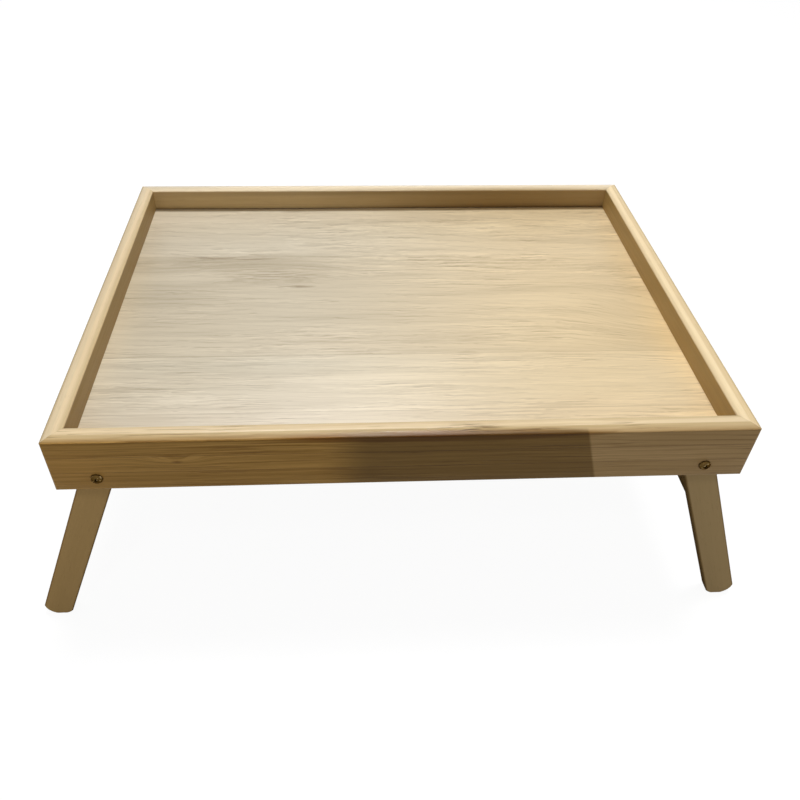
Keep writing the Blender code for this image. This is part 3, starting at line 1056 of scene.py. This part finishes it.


# Painted glints: the screw's pale second colour makes its bright spots.
SCREW_BRONZE = Metal(
    colour=(0.085, 0.050, 0.014), worn=(0.45, 0.33, 0.17), edge=(0.10, 0.06, 0.02), roughness=0.42
)
NUT_ZINC = Metal(colour=(0.55, 0.55, 0.53), worn=(0.44, 0.45, 0.45), edge=(0.9, 0.9, 0.9), roughness=0.30)
WASHER_NYLON = Nylon(colour=(0.74, 0.72, 0.66), shaded=(0.66, 0.63, 0.56))
FRONT_RAIL = StavedRailWood(
    pale=(0.65, 0.385, 0.125),
    dark=(0.33, 0.175, 0.04),
    ring_rise=0.5,
    ring_strength=0.34,
    fibre_length=120.0,
    fibre_width=1.4,
    fibre_strength=1.9,
    fibre_calm=0.4,
    pore_length=70.0,
    pore_width=1.3,
    pore_share=0.60,
    pore_blur=0.12,
    pore_strength=0.5,
    glue_width=0.6,
    glue_strength=0.6,
    face=(0.92, 0.89, 0.75),
    rim_pale=(0.85, 0.69, 0.45),
    rim_dark=(0.67, 0.51, 0.29),
    rim_start=238.1,
    rim_end=239.9,
    rim_roughness=0.15,
    # Painted shade: the outer strip, hem and shoulder tones darken the rim's front slope, its inner edge and
    # the rounded shoulder.
    strip=6.8,
    strip_tone=(0.76, 0.72, 0.62),
    hem_from=10.5,
    hem_shade_tone=(0.88, 0.86, 0.82),
    shoulder_tone=(0.80, 0.79, 0.76),
    spots=(
        Spot((-250, 0, 214), (60, ALL_THROUGH, 40), tint=(1.16, 1.14, 1.12)),
        Spot((-168, 0, 218), (40, ALL_THROUGH, 9), swirl=(0.0, 0.0, 6.0)),
        Spot((-167, 0, 217), (6, ALL_THROUGH, 2.4), tint=(0.52, 0.46, 0.36)),
        Spot((-120, 0, 214), (110, ALL_THROUGH, 40), grain=0.7),
        Spot((230, 0, 214), (130, ALL_THROUGH, 80), grain=-1.2),
        # Painted shade: the next two spots darken and warm the rim's front slope over the middle of the rail.
        Spot((25, -191, 239), (150, 7.2, 7), tint=(0.58, 0.45, 0.22), soft=0.35),
        Spot((20, -189, 240), (56, 5.4, 4.2), tint=(0.84, 0.64, 0.18), soft=0.7),
        Spot((46, -184, 239), (34, 7, 6), tint=(0.28, 0.21, 0.12), streaks=1.0),
        Spot((92, -187, 239), (40, 4, 6), tint=(0.48, 0.39, 0.27), streaks=1.0),
    ),
)
SIDE_WOOD = RailWood(
    pale=(0.52, 0.305, 0.10),
    dark=(0.42, 0.235, 0.07),
    ring_strength=0.15,
    fibre_strength=0.8,
    tone_strength=0.5,
    pore_strength=0.1,
    board_strength=0.05,
    glue_strength=0.1,
    strip=7.8,
    rim_start=238.1,
    rim_end=239.3,
)
# Painted shade on the side rails: the outer strip and hem tones darken both edges of the rim, leaving a
# painted highlight ridge along it.
RIGHT_RAIL = replace(
    SIDE_WOOD,
    face=(0.92, 1.06, 1.25),
    rim_pale=(0.99, 0.82, 0.53),
    rim_dark=(0.80, 0.62, 0.37),
    strip=6.9,
    strip_blur=0.8,
    strip_tone=(0.87, 0.83, 0.75),
    hem_from=9.5,
    hem_shade_tone=(0.84, 0.81, 0.76),
)
BACK_RAIL = replace(
    SIDE_WOOD,
    face=(1.04, 1.27, 1.86),
    rim_pale=(0.89, 0.75, 0.53),
    rim_dark=(0.75, 0.60, 0.38),
    spots=(
        Spot((-240, 188, 240), (130, 14, 8), tint=(0.74, 0.73, 0.71)),
        # Painted shadow of the rim's overhang along the top of the back wall.
        Spot((-40, 176, 236.5), (330, 9, 5), tint=(0.76, 0.76, 0.78)),
        Spot((130, 176, 225), (260, 9, 60), tint=(0.56, 0.49, 0.37)),
        # Painted shadow: the next two spots darken the back wall's foot along the panel.
        Spot((160, 176, 218), (330, 9, 6), tint=(0.48, 0.42, 0.32)),
        Spot((-220, 176, 218), (200, 9, 5), tint=(0.70, 0.66, 0.60)),
    ),
)
LEFT_RAIL = replace(
    SIDE_WOOD,
    face=(0.68, 0.77, 0.92),
    rim_pale=(0.86, 0.69, 0.44),
    rim_dark=(0.69, 0.525, 0.31),
    # Painted shade on the outer strip and inner hem, leaving a painted highlight ridge, as on the right rail.
    strip=7.0,
    strip_tone=(0.95, 0.97, 0.99),
    hem_shade_tone=(0.82, 0.79, 0.71),
)
PANEL_VENEER = PanelVeneer(
    pale=(0.76, 0.655, 0.485),
    dark=(0.46, 0.37, 0.245),
    pore=(0.60, 0.55, 0.48),
    seams=(-142.0, -74.0, 79.5),
    specular=0.34,
    pore_length=40.0,
    pore_width=1.5,
    pore_share=0.58,
    pore_blur=0.20,
    pore_cluster=0.05,
    pore_strength=0.5,
    lip_strength=0.4,
    ripple=1.6,
    fibre_width=1.4,
    fibre_strength=0.85,
    fibre_calm=0.6,
    ring_width=3.2,
    ring_rise=0.68,
    ring_strength=0.22,
    pith_lean=0.05,
    tone_length=170.0,
    tone_width=7.0,
    tone_strength=0.9,
    spots=(
        patch(-40, 66, 330, 55, grain=0.9),
        patch(-60, -172, 340, 42, grain=-1.1),
        patch(-150, 68, 160, 26, tint=(0.80, 0.775, 0.73)),
        patch(-70, -55, 110, 30, tint=(1.10, 1.10, 1.11)),
        patch(-120, -86, 240, 18, tint=(0.88, 0.88, 0.87)),
        patch(-120, 52, 110, 28, swirl=(0.0, -8.0, 0.0)),
        patch(-118, 46, 90, 22, tint=(0.72, 0.68, 0.62), streaks=1.0),
        patch(-215, 18, 80, 40, tint=(0.88, 0.875, 0.86)),
        patch(-92, 27.5, 34, 4, tint=(0.50, 0.44, 0.36), streaks=1.0),
        # Painted light: lifts the panel in front of the back wall, against the wall's shade.
        patch(-170, 155, 260, 60, tint=(1.16, 1.16, 1.17)),
        # Painted shadow: a dark line along the panel's back edge, at the foot of the back wall.
        patch(0, 180, 700, 12, tint=(0.30, 0.25, 0.18), soft=0.35),
        # Painted sheen: brighter and bluer behind the front rail.
        patch(-70, -172, 380, 72, tint=(1.22, 1.235, 1.30)),
        # Painted light: the next five patches lift and warm the panel along the side walls and in the front
        # corners, against the walls' shade.
        patch(-250, -20, 36, 180, tint=(1.20, 1.20, 1.18)),
        patch(-240, -172, 40, 30, tint=(1.10, 1.04, 0.90)),
        patch(236, -172, 60, 40, tint=(1.26, 1.24, 1.16)),
        patch(250, -70, 50, 80, tint=(1.10, 1.08, 1.03)),
        patch(302, -10, 90, 280, tint=(1.40, 1.37, 1.26)),
        patch(-20, -100, 120, 60, tint=(1.06, 1.06, 1.06)),
        patch(264, -34, 130, 75, tint=(0.97, 0.96, 0.93), swirl=(0.0, 18.0, 0.0)),
        patch(190, -140, 80, 26, tint=(1.05, 1.05, 1.06)),
    ),
)
LEG_WOOD = LegWood(
    pale=(0.72, 0.475, 0.20),
    dark=(0.64, 0.41, 0.16),
    pore_strength=0.1,
    ring_strength=0.1,
    specular=0.0,
    fibre_strength=0.4,
    tone_strength=0.3,
)
LEG_WOODS = {
    Column.LEFT: LEG_WOOD,
    Column.RIGHT: replace(LEG_WOOD, pale=(0.66, 0.47, 0.235), dark=(0.58, 0.405, 0.19)),
}
# Painted shade: the crossbar's wood is much darker than the legs', standing for the shade under the tray.
SHADED_CROSSBAR_WOOD = Wood(pale=(0.32, 0.21, 0.09), dark=(0.25, 0.16, 0.06), specular=0.0)
DOWEL_WOOD = Wood(pale=(0.62, 0.47, 0.30), dark=(0.50, 0.36, 0.21))


@dataclass
class Foot:
    """The rounded end of a leg and the flat that it stands on."""

    radius: float = 0.01338
    flat: float = 0.009

    @property
    def rise(self) -> float:
        """Return how high above the floor the centre of the rounding is."""
        return math.sqrt(self.radius**2 - (self.flat / 2) ** 2)


@dataclass
class Pivot:
    """Where the leg frames turn, and how far they are splayed."""

    x: float
    z: float
    splay: float

    @classmethod
    def of_frame(cls, foot: Foot) -> "Pivot":
        """Read the pivots' place from the joints, and the splay from where the feet stand.

        Args:
            foot: The shape of the feet.

        Returns:
            The pivots.
        """
        joint = next(item for item in frame["joints"] if item["name"] == "right_leg_fold")
        mount = next(item for item in frame["record"]["mounts"] if item["name"] == "front_right_foot")
        x, _, z = joint["pos_m"]
        return cls(x=x, z=z, splay=math.atan2(mount["pos_m"][0] - x, z - foot.rise))

    def at(self, column: Column) -> Vector:
        """Return a column's pivots, as a place on the plane through the tray's middle."""
        return Vector((column.value * self.x, 0, self.z))


@dataclass
class RailFrame:
    """The four mitred rails round the panel."""

    slope_width: float = 0.0062
    slope: float = math.radians(15)
    slope_ease: float = 0.012
    outer_rim: float = 0.0013
    inner_rim: float = 0.0012
    rim_steps: int = 8
    lower_edge: float = 0.001
    lower_segments: int = 4
    inner_edge: float = 0.0004
    inner_segments: int = 2
    corner_radius: float = 0.002
    corner_cuts: int = 6
    mitre_gap: float = 0.00008
    groove_depth: float = 0.006
    groove_play: float = 0.0002
    groove_shadow: float = 0.0007
    bore_radius: float = 0.0028
    dowel_hole_radius: float = 0.0022
    dowel_hole_half_length: float = 0.0062
    dowel_hole_sides: int = 24
    board_step: float = 370.0

    def build(self, pivot: Pivot) -> None:
        """Make all four rails and dress them.

        Args:
            pivot: Where the pivot screws go through the long rails.
        """
        half_length, half_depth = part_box("right_rail")[1].x, -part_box("front_rail")[0].y
        long_rail = self.blank("long_rail", half_length, self.groove_shadow)
        short_rail = self.blank("short_rail", half_depth, self.groove_play)
        layout = {
            "front": (long_rail, -half_depth * Y_AXIS, FRONT_RAIL),
            "right": (short_rail, half_length * X_AXIS, RIGHT_RAIL),
            "back": (long_rail, half_depth * Y_AXIS, BACK_RAIL),
            "left": (short_rail, -half_length * X_AXIS, LEFT_RAIL),
        }
        for index, (name, (blank, location, wood)) in enumerate(layout.items()):
            turn = index * QUARTER_TURN
            rail = blank.copy(f"{name}_rail_dressed").place(location, turn * Z_AXIS)
            if blank is long_rail:
                for column in Column:
                    rail.bore(self.bore_radius, pivot.at(column))
            self.drill(rail, name)
            sawn = Sawn(turn=(0.0, 0.0, -turn), shift=(self.board_step * index, 0.0, 0.0))
            outward = tuple(location.normalized())
            laid = replace(wood, outward=outward, reach=location.length * MILLIMETRES)
            rail.finish(laid.material(f"{name}_rail_wood", sawn), "tray", f"{name}_rail", "rail_wood")
        long_rail.discard()
        short_rail.discard()

    def blank(self, name: str, half_length: float, play: float) -> Workpiece:
        """Make a rail along X with its outer face at Y zero, moulded, grooved and mitred.

        Args:
            name: The name of the rail.
            half_length: Half its length, out to the tips of its mitres.
            play: How far its groove opens above the panel.

        Returns:
            The rail.
        """
        low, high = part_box("front_rail")
        bottom, top, inner = low.z, high.z, high.y - low.y
        rail = Workpiece.block(name, Vector((-half_length, 0, bottom)), Vector((half_length, inner, top)))
        rim, ease = self.outer_rim, self.slope_ease
        steep = QUARTER_TURN - self.slope
        drop = (self.slope_width - rim) * math.tan(self.slope) + rim / math.cos(self.slope)
        shoulder = Vector((0, rim, top - drop))
        crest = Vector((0, self.slope_width + ease * math.tan(self.slope / 2), top - ease))
        profile = arc(shoulder, -rim * Y_AXIS, rim * Z_AXIS, self.rim_steps, 0, steep)
        profile += arc(crest, -ease * Y_AXIS, ease * Z_AXIS, self.rim_steps // 2, steep, QUARTER_TURN)
        rail.shave(profile, X_AXIS)
        rim = self.inner_rim
        edge = Vector((0, inner - rim, top - rim))
        rail.shave(arc(edge, rim * Z_AXIS, rim * Y_AXIS, self.rim_steps, 0, QUARTER_TURN), X_AXIS)
        rail.bevel(along_x(0, bottom), self.lower_edge, self.lower_segments)
        rail.bevel(along_x(inner, bottom), self.inner_edge, self.inner_segments)
        self.groove(rail, play)
        radius = self.corner_radius
        for side in (-1, 1):
            tip = side * (half_length - self.mitre_gap) * X_AXIS
            rail.bisect(tip, (side * X_AXIS + Y_AXIS).normalized())
            centre = Vector((side * (half_length - radius), radius, 0))
            first, second = -radius * Y_AXIS, side * radius * X_AXIS
            rail.shave(arc(centre, first, second, self.corner_cuts, 0, QUARTER_TURN / 2), -side * Z_AXIS)
        return rail

    def groove(self, rail: Workpiece, play: float) -> None:
        """Plough the panel's groove into a rail's inner face.

        Args:
            rail: The rail.
            play: How far the groove opens above the panel.
        """
        low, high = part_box("tray_panel")
        floor = low.z - self.groove_play
        roof = high.z + play
        for height in (floor, roof):
            rail.bisect(height * Z_AXIS, Z_AXIS, remove=False)
        sunk = -self.groove_depth * Y_AXIS
        rail.extrude(lambda centre, normal: normal.y > FACING and floor < centre.z < roof, sunk)

    def drill(self, rail: Workpiece, name: str) -> None:
        """Drill a rail's ends for the dowels across its mitres.

        Args:
            rail: The rail.
            name: Its side of the tray, as in a dowel's name.
        """
        for row, column, _, middle, turn in dowel_places():
            if name in (row.label, column.label):
                half = self.dowel_hole_half_length
                hole = Workpiece.rod("hole", self.dowel_hole_radius, -half, half, self.dowel_hole_sides)
                rail.apply_tool(hole.place(middle, turn * Z_AXIS), Operation.CUT)


@dataclass
class TrayPanel:
    """The veneered board that lies in the rails' grooves."""

    edge_radius: float = 0.0004
    edge_segments: int = 3
    tongue_rim: float = 0.006
    board_shift: Triple = (0.0, 420.0, 0.0)

    def build(self) -> None:
        """Make the panel and dress it."""
        low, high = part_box("tray_panel")
        panel = Workpiece.block("tray_panel_dressed", low, high)
        panel.inset(facing(-Z_AXIS), self.tongue_rim, 0)
        panel.bevel(at_level(2, high.z), self.edge_radius, self.edge_segments)
        material = PANEL_VENEER.material("panel_veneer", Sawn(shift=self.board_shift))
        panel.finish(material, "tray", "tray_panel", "panel_veneer")


@dataclass
class LegFrame:
    """Two legs and the crossbar between them, which swing together about their pivots."""

    column: Column
    pivot: Pivot
    width: float = 0.0248
    edge_radius: float = 0.0012
    edge_segments: int = 3
    top_cuts: int = 20
    foot_cuts: int = 12
    bore_radius: float = 0.0028
    crossbar_drop: float = 0.060
    crossbar_thickness: float = 0.012
    tenon_shoulder: float = 0.003
    tenon_length: float = 0.008
    mortise_clearance: float = 0.0002
    board_step: float = 300.0
    foot: Foot = field(default_factory=Foot)

    @property
    def swing(self) -> Vector:
        """Return the turn that splays the frame."""
        return -self.column.value * self.pivot.splay * Y_AXIS

    def build(self) -> None:
        """Make both legs and the crossbar and dress them."""
        for row in Row:
            self.leg(row)
        self.crossbar()

    def hung(self, piece: Workpiece) -> Workpiece:
        """Hang a piece of the frame, made upright about the origin, from its pivot."""
        return piece.place(self.pivot.at(self.column), self.swing)

    def leg(self, row: Row) -> None:
        """Make and dress one leg.

        Args:
            row: The leg's row.
        """
        node = f"{row.label}_{self.column.label}_leg"
        low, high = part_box(node)
        half, radius = self.width / 2, self.foot.radius
        length = (self.pivot.z - self.foot.rise) / math.cos(self.pivot.splay)
        bottom = Vector((-half, low.y, -length - radius))
        leg = Workpiece.block(f"{node}_dressed", bottom, Vector((half, high.y, half)))
        round_top = arc(ORIGIN, -half * X_AXIS, half * Z_AXIS, self.top_cuts, 0, 2 * QUARTER_TURN)
        leg.shave(round_top, -Y_AXIS)
        toe = math.asin(half / radius)
        leg.shave(arc(-length * Z_AXIS, -radius * Z_AXIS, radius * X_AXIS, self.foot_cuts, -toe, toe), Y_AXIS)
        self.hung(leg)
        leg.bisect(ORIGIN, -Z_AXIS)
        leg.bevel_ends((low.y, high.y), self.edge_radius, self.edge_segments)
        hang = self.pivot.at(self.column)
        leg.bore(self.bore_radius, hang)
        leg.apply_tool(self.tenons("mortise", self.mortise_clearance), Operation.CUT)
        across = Matrix.Rotation(self.swing.y, 3, "Y") @ X_AXIS
        middle = across.dot(hang) * MILLIMETRES
        wood = replace(LEG_WOODS[self.column], across=tuple(across), middle=middle)
        turn = self.column.value * self.pivot.splay - QUARTER_TURN
        sawn = Sawn(turn=(0.0, turn, 0.0), shift=(self.board_step * row.value, 0.0, 0.0))
        material = wood.material(f"{node}_wood", sawn)
        leg.finish(material, f"{self.column.label}_leg_frame", node, "leg_wood")

    def bar(self, name: str, reach: float, grown: float) -> Workpiece:
        """Start a bar along Y below the pivot, upright.

        Args:
            name: The name of the bar.
            reach: How far it goes to either side of the tray's middle.
            grown: How far its faces stand out from the crossbar's own, or in if it is negative.

        Returns:
            The bar.
        """
        half = Vector((self.width / 2 + grown, reach, self.crossbar_thickness / 2 + grown))
        drop = self.crossbar_drop * Z_AXIS
        return Workpiece.block(name, -half - drop, half - drop)

    def tenons(self, name: str, clearance: float) -> Workpiece:
        """Make a bar of the tenons' section from tip to tip, in place, with a clearance all round."""
        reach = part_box(f"{self.column.label}_crossbar")[1].y + clearance
        return self.hung(self.bar(name, reach, clearance - self.tenon_shoulder))

    def crossbar(self) -> None:
        """Make and dress the crossbar, with a tenon at each end."""
        node = f"{self.column.label}_crossbar"
        bar = self.bar(f"{node}_dressed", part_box(node)[1].y - self.tenon_length, 0.0)
        bar.bevel(lambda a, b: near(a.x, b.x) and near(a.z, b.z), self.edge_radius, self.edge_segments)
        self.hung(bar).apply_tool(self.tenons("tenons", 0.0), Operation.JOIN)
        material = SHADED_CROSSBAR_WOOD.material(f"{node}_wood", Sawn(turn=(0.0, 0.0, -QUARTER_TURN)))
        bar.finish(material, f"{self.column.label}_leg_frame", node, "crossbar_wood")


@dataclass
class PivotHardware:
    """The screw, washers and nut of each pivot."""

    head_radius: float = 0.0045
    head_height: float = 0.0026
    head_rim: float = 0.0006
    head_segments: int = 48
    recess_span: float = 0.0050
    recess_width: float = 0.0012
    recess_depth: float = 0.0014
    recess_taper: float = 0.55
    shank_radius: float = 0.0025
    thread_pitch: float = 0.0008
    thread_depth: float = 0.0004
    thread_length: float = 0.010
    thread_play: float = 0.00002
    thread_steps: int = 32
    spare_ridges: int = 4
    washer_sides: int = 64
    washer_edge: float = 0.0002
    washer_segments: int = 3
    nut_corner: float = 0.0046
    nut_chamfer: float = 0.0005

    def build(self, pivot: Pivot) -> None:
        """Make one set of hardware and fit it at all four pivots.

        Args:
            pivot: Where the pivots are.
        """
        kinds = {
            "pivot_screw": (self.screw(), SCREW_BRONZE.material("screw_bronze"), "screw_bronze"),
            "spacer_washer": (
                self.washer("spacer_washer"), WASHER_NYLON.material("washer_nylon"), "washer_nylon"
            ),
            "nut_washer": (
                self.washer("nut_washer"), WASHER_NYLON.material("nut_washer_nylon"), "washer_nylon"
            ),
            "nut": (self.nut(), NUT_ZINC.material("nut_zinc"), "nut_zinc"),
        }
        for row, column in product(Row, Column):
            turn = QUARTER_TURN * (1 + row.value) * Z_AXIS
            for kind, (model, material, slot) in kinds.items():
                node = f"{row.label}_{column.label}_{kind}"
                piece = model.copy(f"{node}_fitted").place(pivot.at(column), turn)
                piece.finish(material, "tray", node, slot)
        for model, _, _ in kinds.values():
            model.discard()

    def screw(self) -> Workpiece:
        """Make the front screw on the Y axis, with its domed head towards -Y.

        Returns:
            The screw.
        """
        low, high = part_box("front_left_pivot_screw")
        seat = low.y + self.head_height
        bpy.ops.object.select_all(action="DESELECT")
        bpy.ops.mesh.primitive_uv_sphere_add(
            segments=self.head_segments,
            ring_count=self.head_segments // 2,
            radius=self.head_radius,
            rotation=(QUARTER_TURN, 0, 0),
        )
        screw = Workpiece.started("screw")
        screw.bisect(ORIGIN, Y_AXIS)
        dome = (self.head_height - self.head_rim) / self.head_radius
        screw.resize(lambda centre, normal: True, Vector((1, dome, 1)), ORIGIN)
        screw.place((seat - self.head_rim) * Y_AXIS)
        screw.extrude(facing(Y_AXIS), self.head_rim * Y_AXIS)
        half, reach = self.recess_width / 2, self.recess_span / 2
        floor = low.y + self.recess_depth
        taper = Vector((self.recess_taper, 1, self.recess_taper))
        for turn in (0, QUARTER_TURN):
            mouth = Vector((-reach, low.y - self.head_rim, -half))
            slot = Workpiece.block("slot", mouth, Vector((reach, floor, half)))
            slot.resize(facing(Y_AXIS), taper, floor * Y_AXIS)
            screw.apply_tool(slot.place(turn=turn * Y_AXIS), Operation.CUT)
        neck = seat - self.head_rim / 2
        shank = Workpiece.rod("shank", self.shank_radius, neck, high.y - self.thread_length)
        screw.apply_tool(shank, Operation.JOIN)
        screw.apply_tool(self.thread(high.y), Operation.JOIN)
        return screw

    def thread(self, tip: float) -> Workpiece:
        """Wind the threaded end of the screw as one ridged tube.

        Args:
            tip: Where the screw ends along Y.

        Returns:
            The thread.
        """
        start = tip - self.thread_length - self.thread_pitch
        root = self.shank_radius - self.thread_play - self.thread_depth
        bpy.ops.object.select_all(action="DESELECT")
        bpy.ops.mesh.primitive_plane_add(size=root, location=(root, start - self.thread_pitch, 0))
        thread = Workpiece.started("thread")
        thread.activate()
        bpy.ops.object.mode_set(mode="EDIT")
        bpy.ops.mesh.select_mode(type="VERT")
        bpy.ops.mesh.select_all(action="SELECT")
        bpy.ops.mesh.merge(type="CENTER")
        ridges = math.ceil(self.thread_length / self.thread_pitch) + self.spare_ridges
        for step in (self.thread_depth, -self.thread_depth) * ridges:
            bpy.ops.mesh.extrude_region_move(
                TRANSFORM_OT_translate={"value": (step, self.thread_pitch / 2, 0)}
            )
        bpy.ops.object.mode_set(mode="OBJECT")
        modifier = thread.shape.modifiers.new("wind", "SCREW")
        modifier.axis = "Y"
        modifier.screw_offset = self.thread_pitch
        modifier.steps = modifier.render_steps = self.thread_steps
        thread.apply(modifier)
        thread.close()
        thread.bisect(tip * Y_AXIS, Y_AXIS)
        thread.bisect((start + self.thread_pitch / 2) * Y_AXIS, -Y_AXIS)
        return thread

    def washer(self, kind: str) -> Workpiece:
        """Make a washer of the front left pivot on the Y axis.

        Args:
            kind: Which washer, as in a node's name.

        Returns:
            The washer.
        """
        low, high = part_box(f"front_left_{kind}")
        radius, half = (high.x - low.x) / 2, (high.y - low.y) / 2
        washer = Workpiece.rod(kind, radius, low.y, high.y, self.washer_sides)
        washer.bore(self.shank_radius + self.washer_edge, (low.y + half) * Y_AXIS, half + radius)
        washer.bevel_ends((low.y, high.y), self.washer_edge, self.washer_segments)
        return washer

    def nut(self) -> Workpiece:
        """Make the nut of the front left pivot on the Y axis.

        Returns:
            The nut.
        """
        low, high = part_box("front_left_nut")
        nut = Workpiece.rod("nut", self.nut_corner, low.y, high.y, 6)
        barrel = Workpiece.rod("barrel", self.nut_corner, low.y, high.y, self.washer_sides)
        barrel.bevel_ends((low.y, high.y), self.nut_chamfer, 1)
        nut.apply_tool(barrel, Operation.KEEP)
        nut.bore(self.shank_radius + self.washer_edge)
        return nut.place(turn=QUARTER_TURN / 3 * Y_AXIS)


@dataclass
class Dowels:
    """The fluted dowels across the mitres."""

    radius: float = 0.002
    length: float = 0.012
    chamfer: float = 0.0004
    chamfer_segments: int = 2
    flute_rim: float = 0.0001
    flute_depth: float = 0.00012
    sides: int = 24

    def build(self) -> None:
        """Make one dowel and fit it at all eight places."""
        half = self.length / 2
        model = Workpiece.rod("dowel", self.radius, -half, half, self.sides)
        model.inset(self.fluted, self.flute_rim, -self.flute_depth, each=True)
        model.bevel_ends((-half, half), self.chamfer, self.chamfer_segments)
        for _, _, node, middle, turn in dowel_places():
            dowel = model.copy(f"{node}_fitted").place(middle, turn * Z_AXIS)
            sawn = Sawn(turn=(0.0, 0.0, -turn - QUARTER_TURN))
            dowel.finish(DOWEL_WOOD.material(f"{node}_beech", sawn), "tray", node, "dowel_wood")
        model.discard()

    def fluted(self, centre: Vector, normal: Vector) -> bool:
        """Tell whether a flute sinks into a face, as into every second one round the dowel."""
        index = round(math.atan2(normal.z, normal.x) / (4 * QUARTER_TURN / self.sides) - 0.5)
        return abs(normal.y) < 0.1 and index % 2 == 0


@dataclass(frozen=True)
class Lamp:
    """A rectangular studio lamp that points at a target."""

    name: str
    place: Triple
    target: Triple
    width: float
    height: float
    power: float
    lights: Effect = Effect.ALL

    def hang(self) -> None:
        """Add the lamp to the scene."""
        data = bpy.data.lights.new(self.name, "AREA")
        data.shape = "RECTANGLE"
        data.size = self.width
        data.size_y = self.height
        data.energy = self.power
        lamp = bpy.data.objects.new(self.name, data)
        lamp.location = self.place
        direction = Vector(self.target) - Vector(self.place)
        lamp.rotation_euler = direction.to_track_quat("-Z", "Y").to_euler()
        lamp.visible_diffuse = self.lights is not Effect.GLINTS
        lamp.visible_glossy = self.lights is not Effect.COLOURS
        bpy.context.scene.collection.objects.link(lamp)


@dataclass
class Studio:
    """A plain pale floor, soft light, and the camera at the photograph's place."""

    floor_half_width: float = 30.0
    floor_tone: Colour = (0.15, 0.145, 0.14)
    shown_glow: float = 0.93
    shown_tone: Colour = (0.12, 0.12, 0.12)
    sky_overhead: float = 0.26
    sky_level: float = 0.12
    lamps: tuple[Lamp, ...] = (
        Lamp("key", (0.15, 0.12, 2.3), (0.0, 0.0, 0.2), 0.46, 0.46, 30.0),
        Lamp("front_soft", (0.0, -2.2, 0.9), (0.0, -0.2, 0.15), 2.4, 1.0, 7.5),
        Lamp("back_soft", (0.0, 2.2, 0.7), (0.0, 0.2, 0.15), 2.4, 1.0, 7.5),
        Lamp("left_soft", (-2.2, 0.0, 0.6), (-0.3, 0.0, 0.15), 2.0, 0.9, 4.0),
        Lamp("right_soft", (2.2, 0.0, 0.6), (0.3, 0.0, 0.15), 2.0, 0.9, 4.0),
        Lamp("front_high", (-0.15, -1.1, 1.75), (0.0, 0.0, 0.15), 0.16, 0.16, 2.2, Effect.COLOURS),
        Lamp("window", (-0.12, 0.80, 1.57), (-0.06, -0.18, 0.24), 0.9, 0.14, 12.0, Effect.GLINTS),
    )
    camera_place: Triple = (-0.0471351, -0.5658918, 0.6324470)
    camera_yaw: float = -3.7577
    camera_pitch: float = 50.3150
    camera_roll: float = 1.5670
    focal_length: float = 34.1625
    shift: tuple[float, float] = (0.02493, -0.06319)

    def build(self) -> None:
        """Set the floor, the light and the camera."""
        self.floor()
        self.sky()
        for lamp in self.lamps:
            lamp.hang()
        self.camera()
        bpy.context.scene.view_settings.view_transform = "Standard"

    def shown(self, graph: Graph) -> Socket:
        """Find where the camera sees a surface, straight or by a reflection.

        Args:
            graph: The nodes of the floor or of the world.

        Returns:
            1 there, and else 0.
        """
        path = graph.add("ShaderNodeLightPath", {}).outputs
        seen = graph.math("MAXIMUM", path["Is Camera Ray"], path["Is Glossy Ray"])
        return graph.math("MAXIMUM", seen, path["Is Transmission Ray"])

    def floor(self) -> None:
        """Lay the floor: white where it shows, with the tray's shadow on it."""
        bpy.ops.object.select_all(action="DESELECT")
        bpy.ops.mesh.primitive_plane_add(size=2 * self.floor_half_width)
        floor = Workpiece.started("floor").shape
        material = bpy.data.materials.new("pale_floor")
        graph = Graph(material)
        plain = graph.add("ShaderNodeBsdfDiffuse", {"Color": (*self.floor_tone, 1.0)})
        glow = graph.add("ShaderNodeEmission", {"Color": (*WHITE, 1.0), "Strength": self.shown_glow})
        shadow = graph.add("ShaderNodeBsdfDiffuse", {"Color": (*self.shown_tone, 1.0)})
        bright = graph.add("ShaderNodeAddShader", {0: glow.outputs[0], 1: shadow.outputs[0]})
        upper = graph.mix(self.shown(graph), plain, bright)
        under = graph.add("ShaderNodeNewGeometry", {}).outputs["Backfacing"]
        both = graph.mix(under, upper, graph.add("ShaderNodeBsdfTransparent", {}))
        graph.add("ShaderNodeOutputMaterial", {"Surface": both.outputs[0]})
        floor.data.materials.append(material)

    def sky(self) -> None:
        """Light the tray from all round, more from overhead, before a white background."""
        world = bpy.data.worlds.new("soft_sky")
        bpy.context.scene.world = world
        graph = Graph(world)
        height = graph.split(graph.add("ShaderNodeTexCoord", {}).outputs["Generated"])[2]
        level = graph.spread(height, 0.0, 1.0, self.sky_level, self.sky_overhead)
        soft = graph.add("ShaderNodeBackground", {"Color": (*WHITE, 1.0), "Strength": level})
        white = graph.add("ShaderNodeBackground", {"Color": (*WHITE, 1.0), "Strength": 1.0})
        both = graph.mix(self.shown(graph), soft, white)
        graph.add("ShaderNodeOutputWorld", {"Surface": both.outputs[0]})

    def camera(self) -> None:
        """Set the camera where the photograph was taken from."""
        data = bpy.data.cameras.new("photo_camera")
        data.lens = self.focal_length
        data.shift_x, data.shift_y = self.shift
        camera = bpy.data.objects.new("photo_camera", data)
        camera.location = self.camera_place
        angles = ((self.camera_yaw, "Z"), (self.camera_pitch, "X"), (self.camera_roll, "Z"))
        yaw, pitch, roll = (Matrix.Rotation(math.radians(angle), 3, axis) for angle, axis in angles)
        camera.rotation_euler = (yaw @ pitch @ roll).to_euler()
        bpy.context.scene.collection.objects.link(camera)
        bpy.context.scene.camera = camera


def main() -> None:
    """Build every part of the tray in order, then set the studio."""
    logging.basicConfig(level=logging.INFO, format="%(message)s")
    pivot = Pivot.of_frame(Foot())
    RailFrame().build(pivot)
    TrayPanel().build()
    for column in Column:
        LegFrame(column, pivot).build()
    PivotHardware().build(pivot)
    Dowels().build()
    Studio().build()


if __name__ == "__main__":
    main()
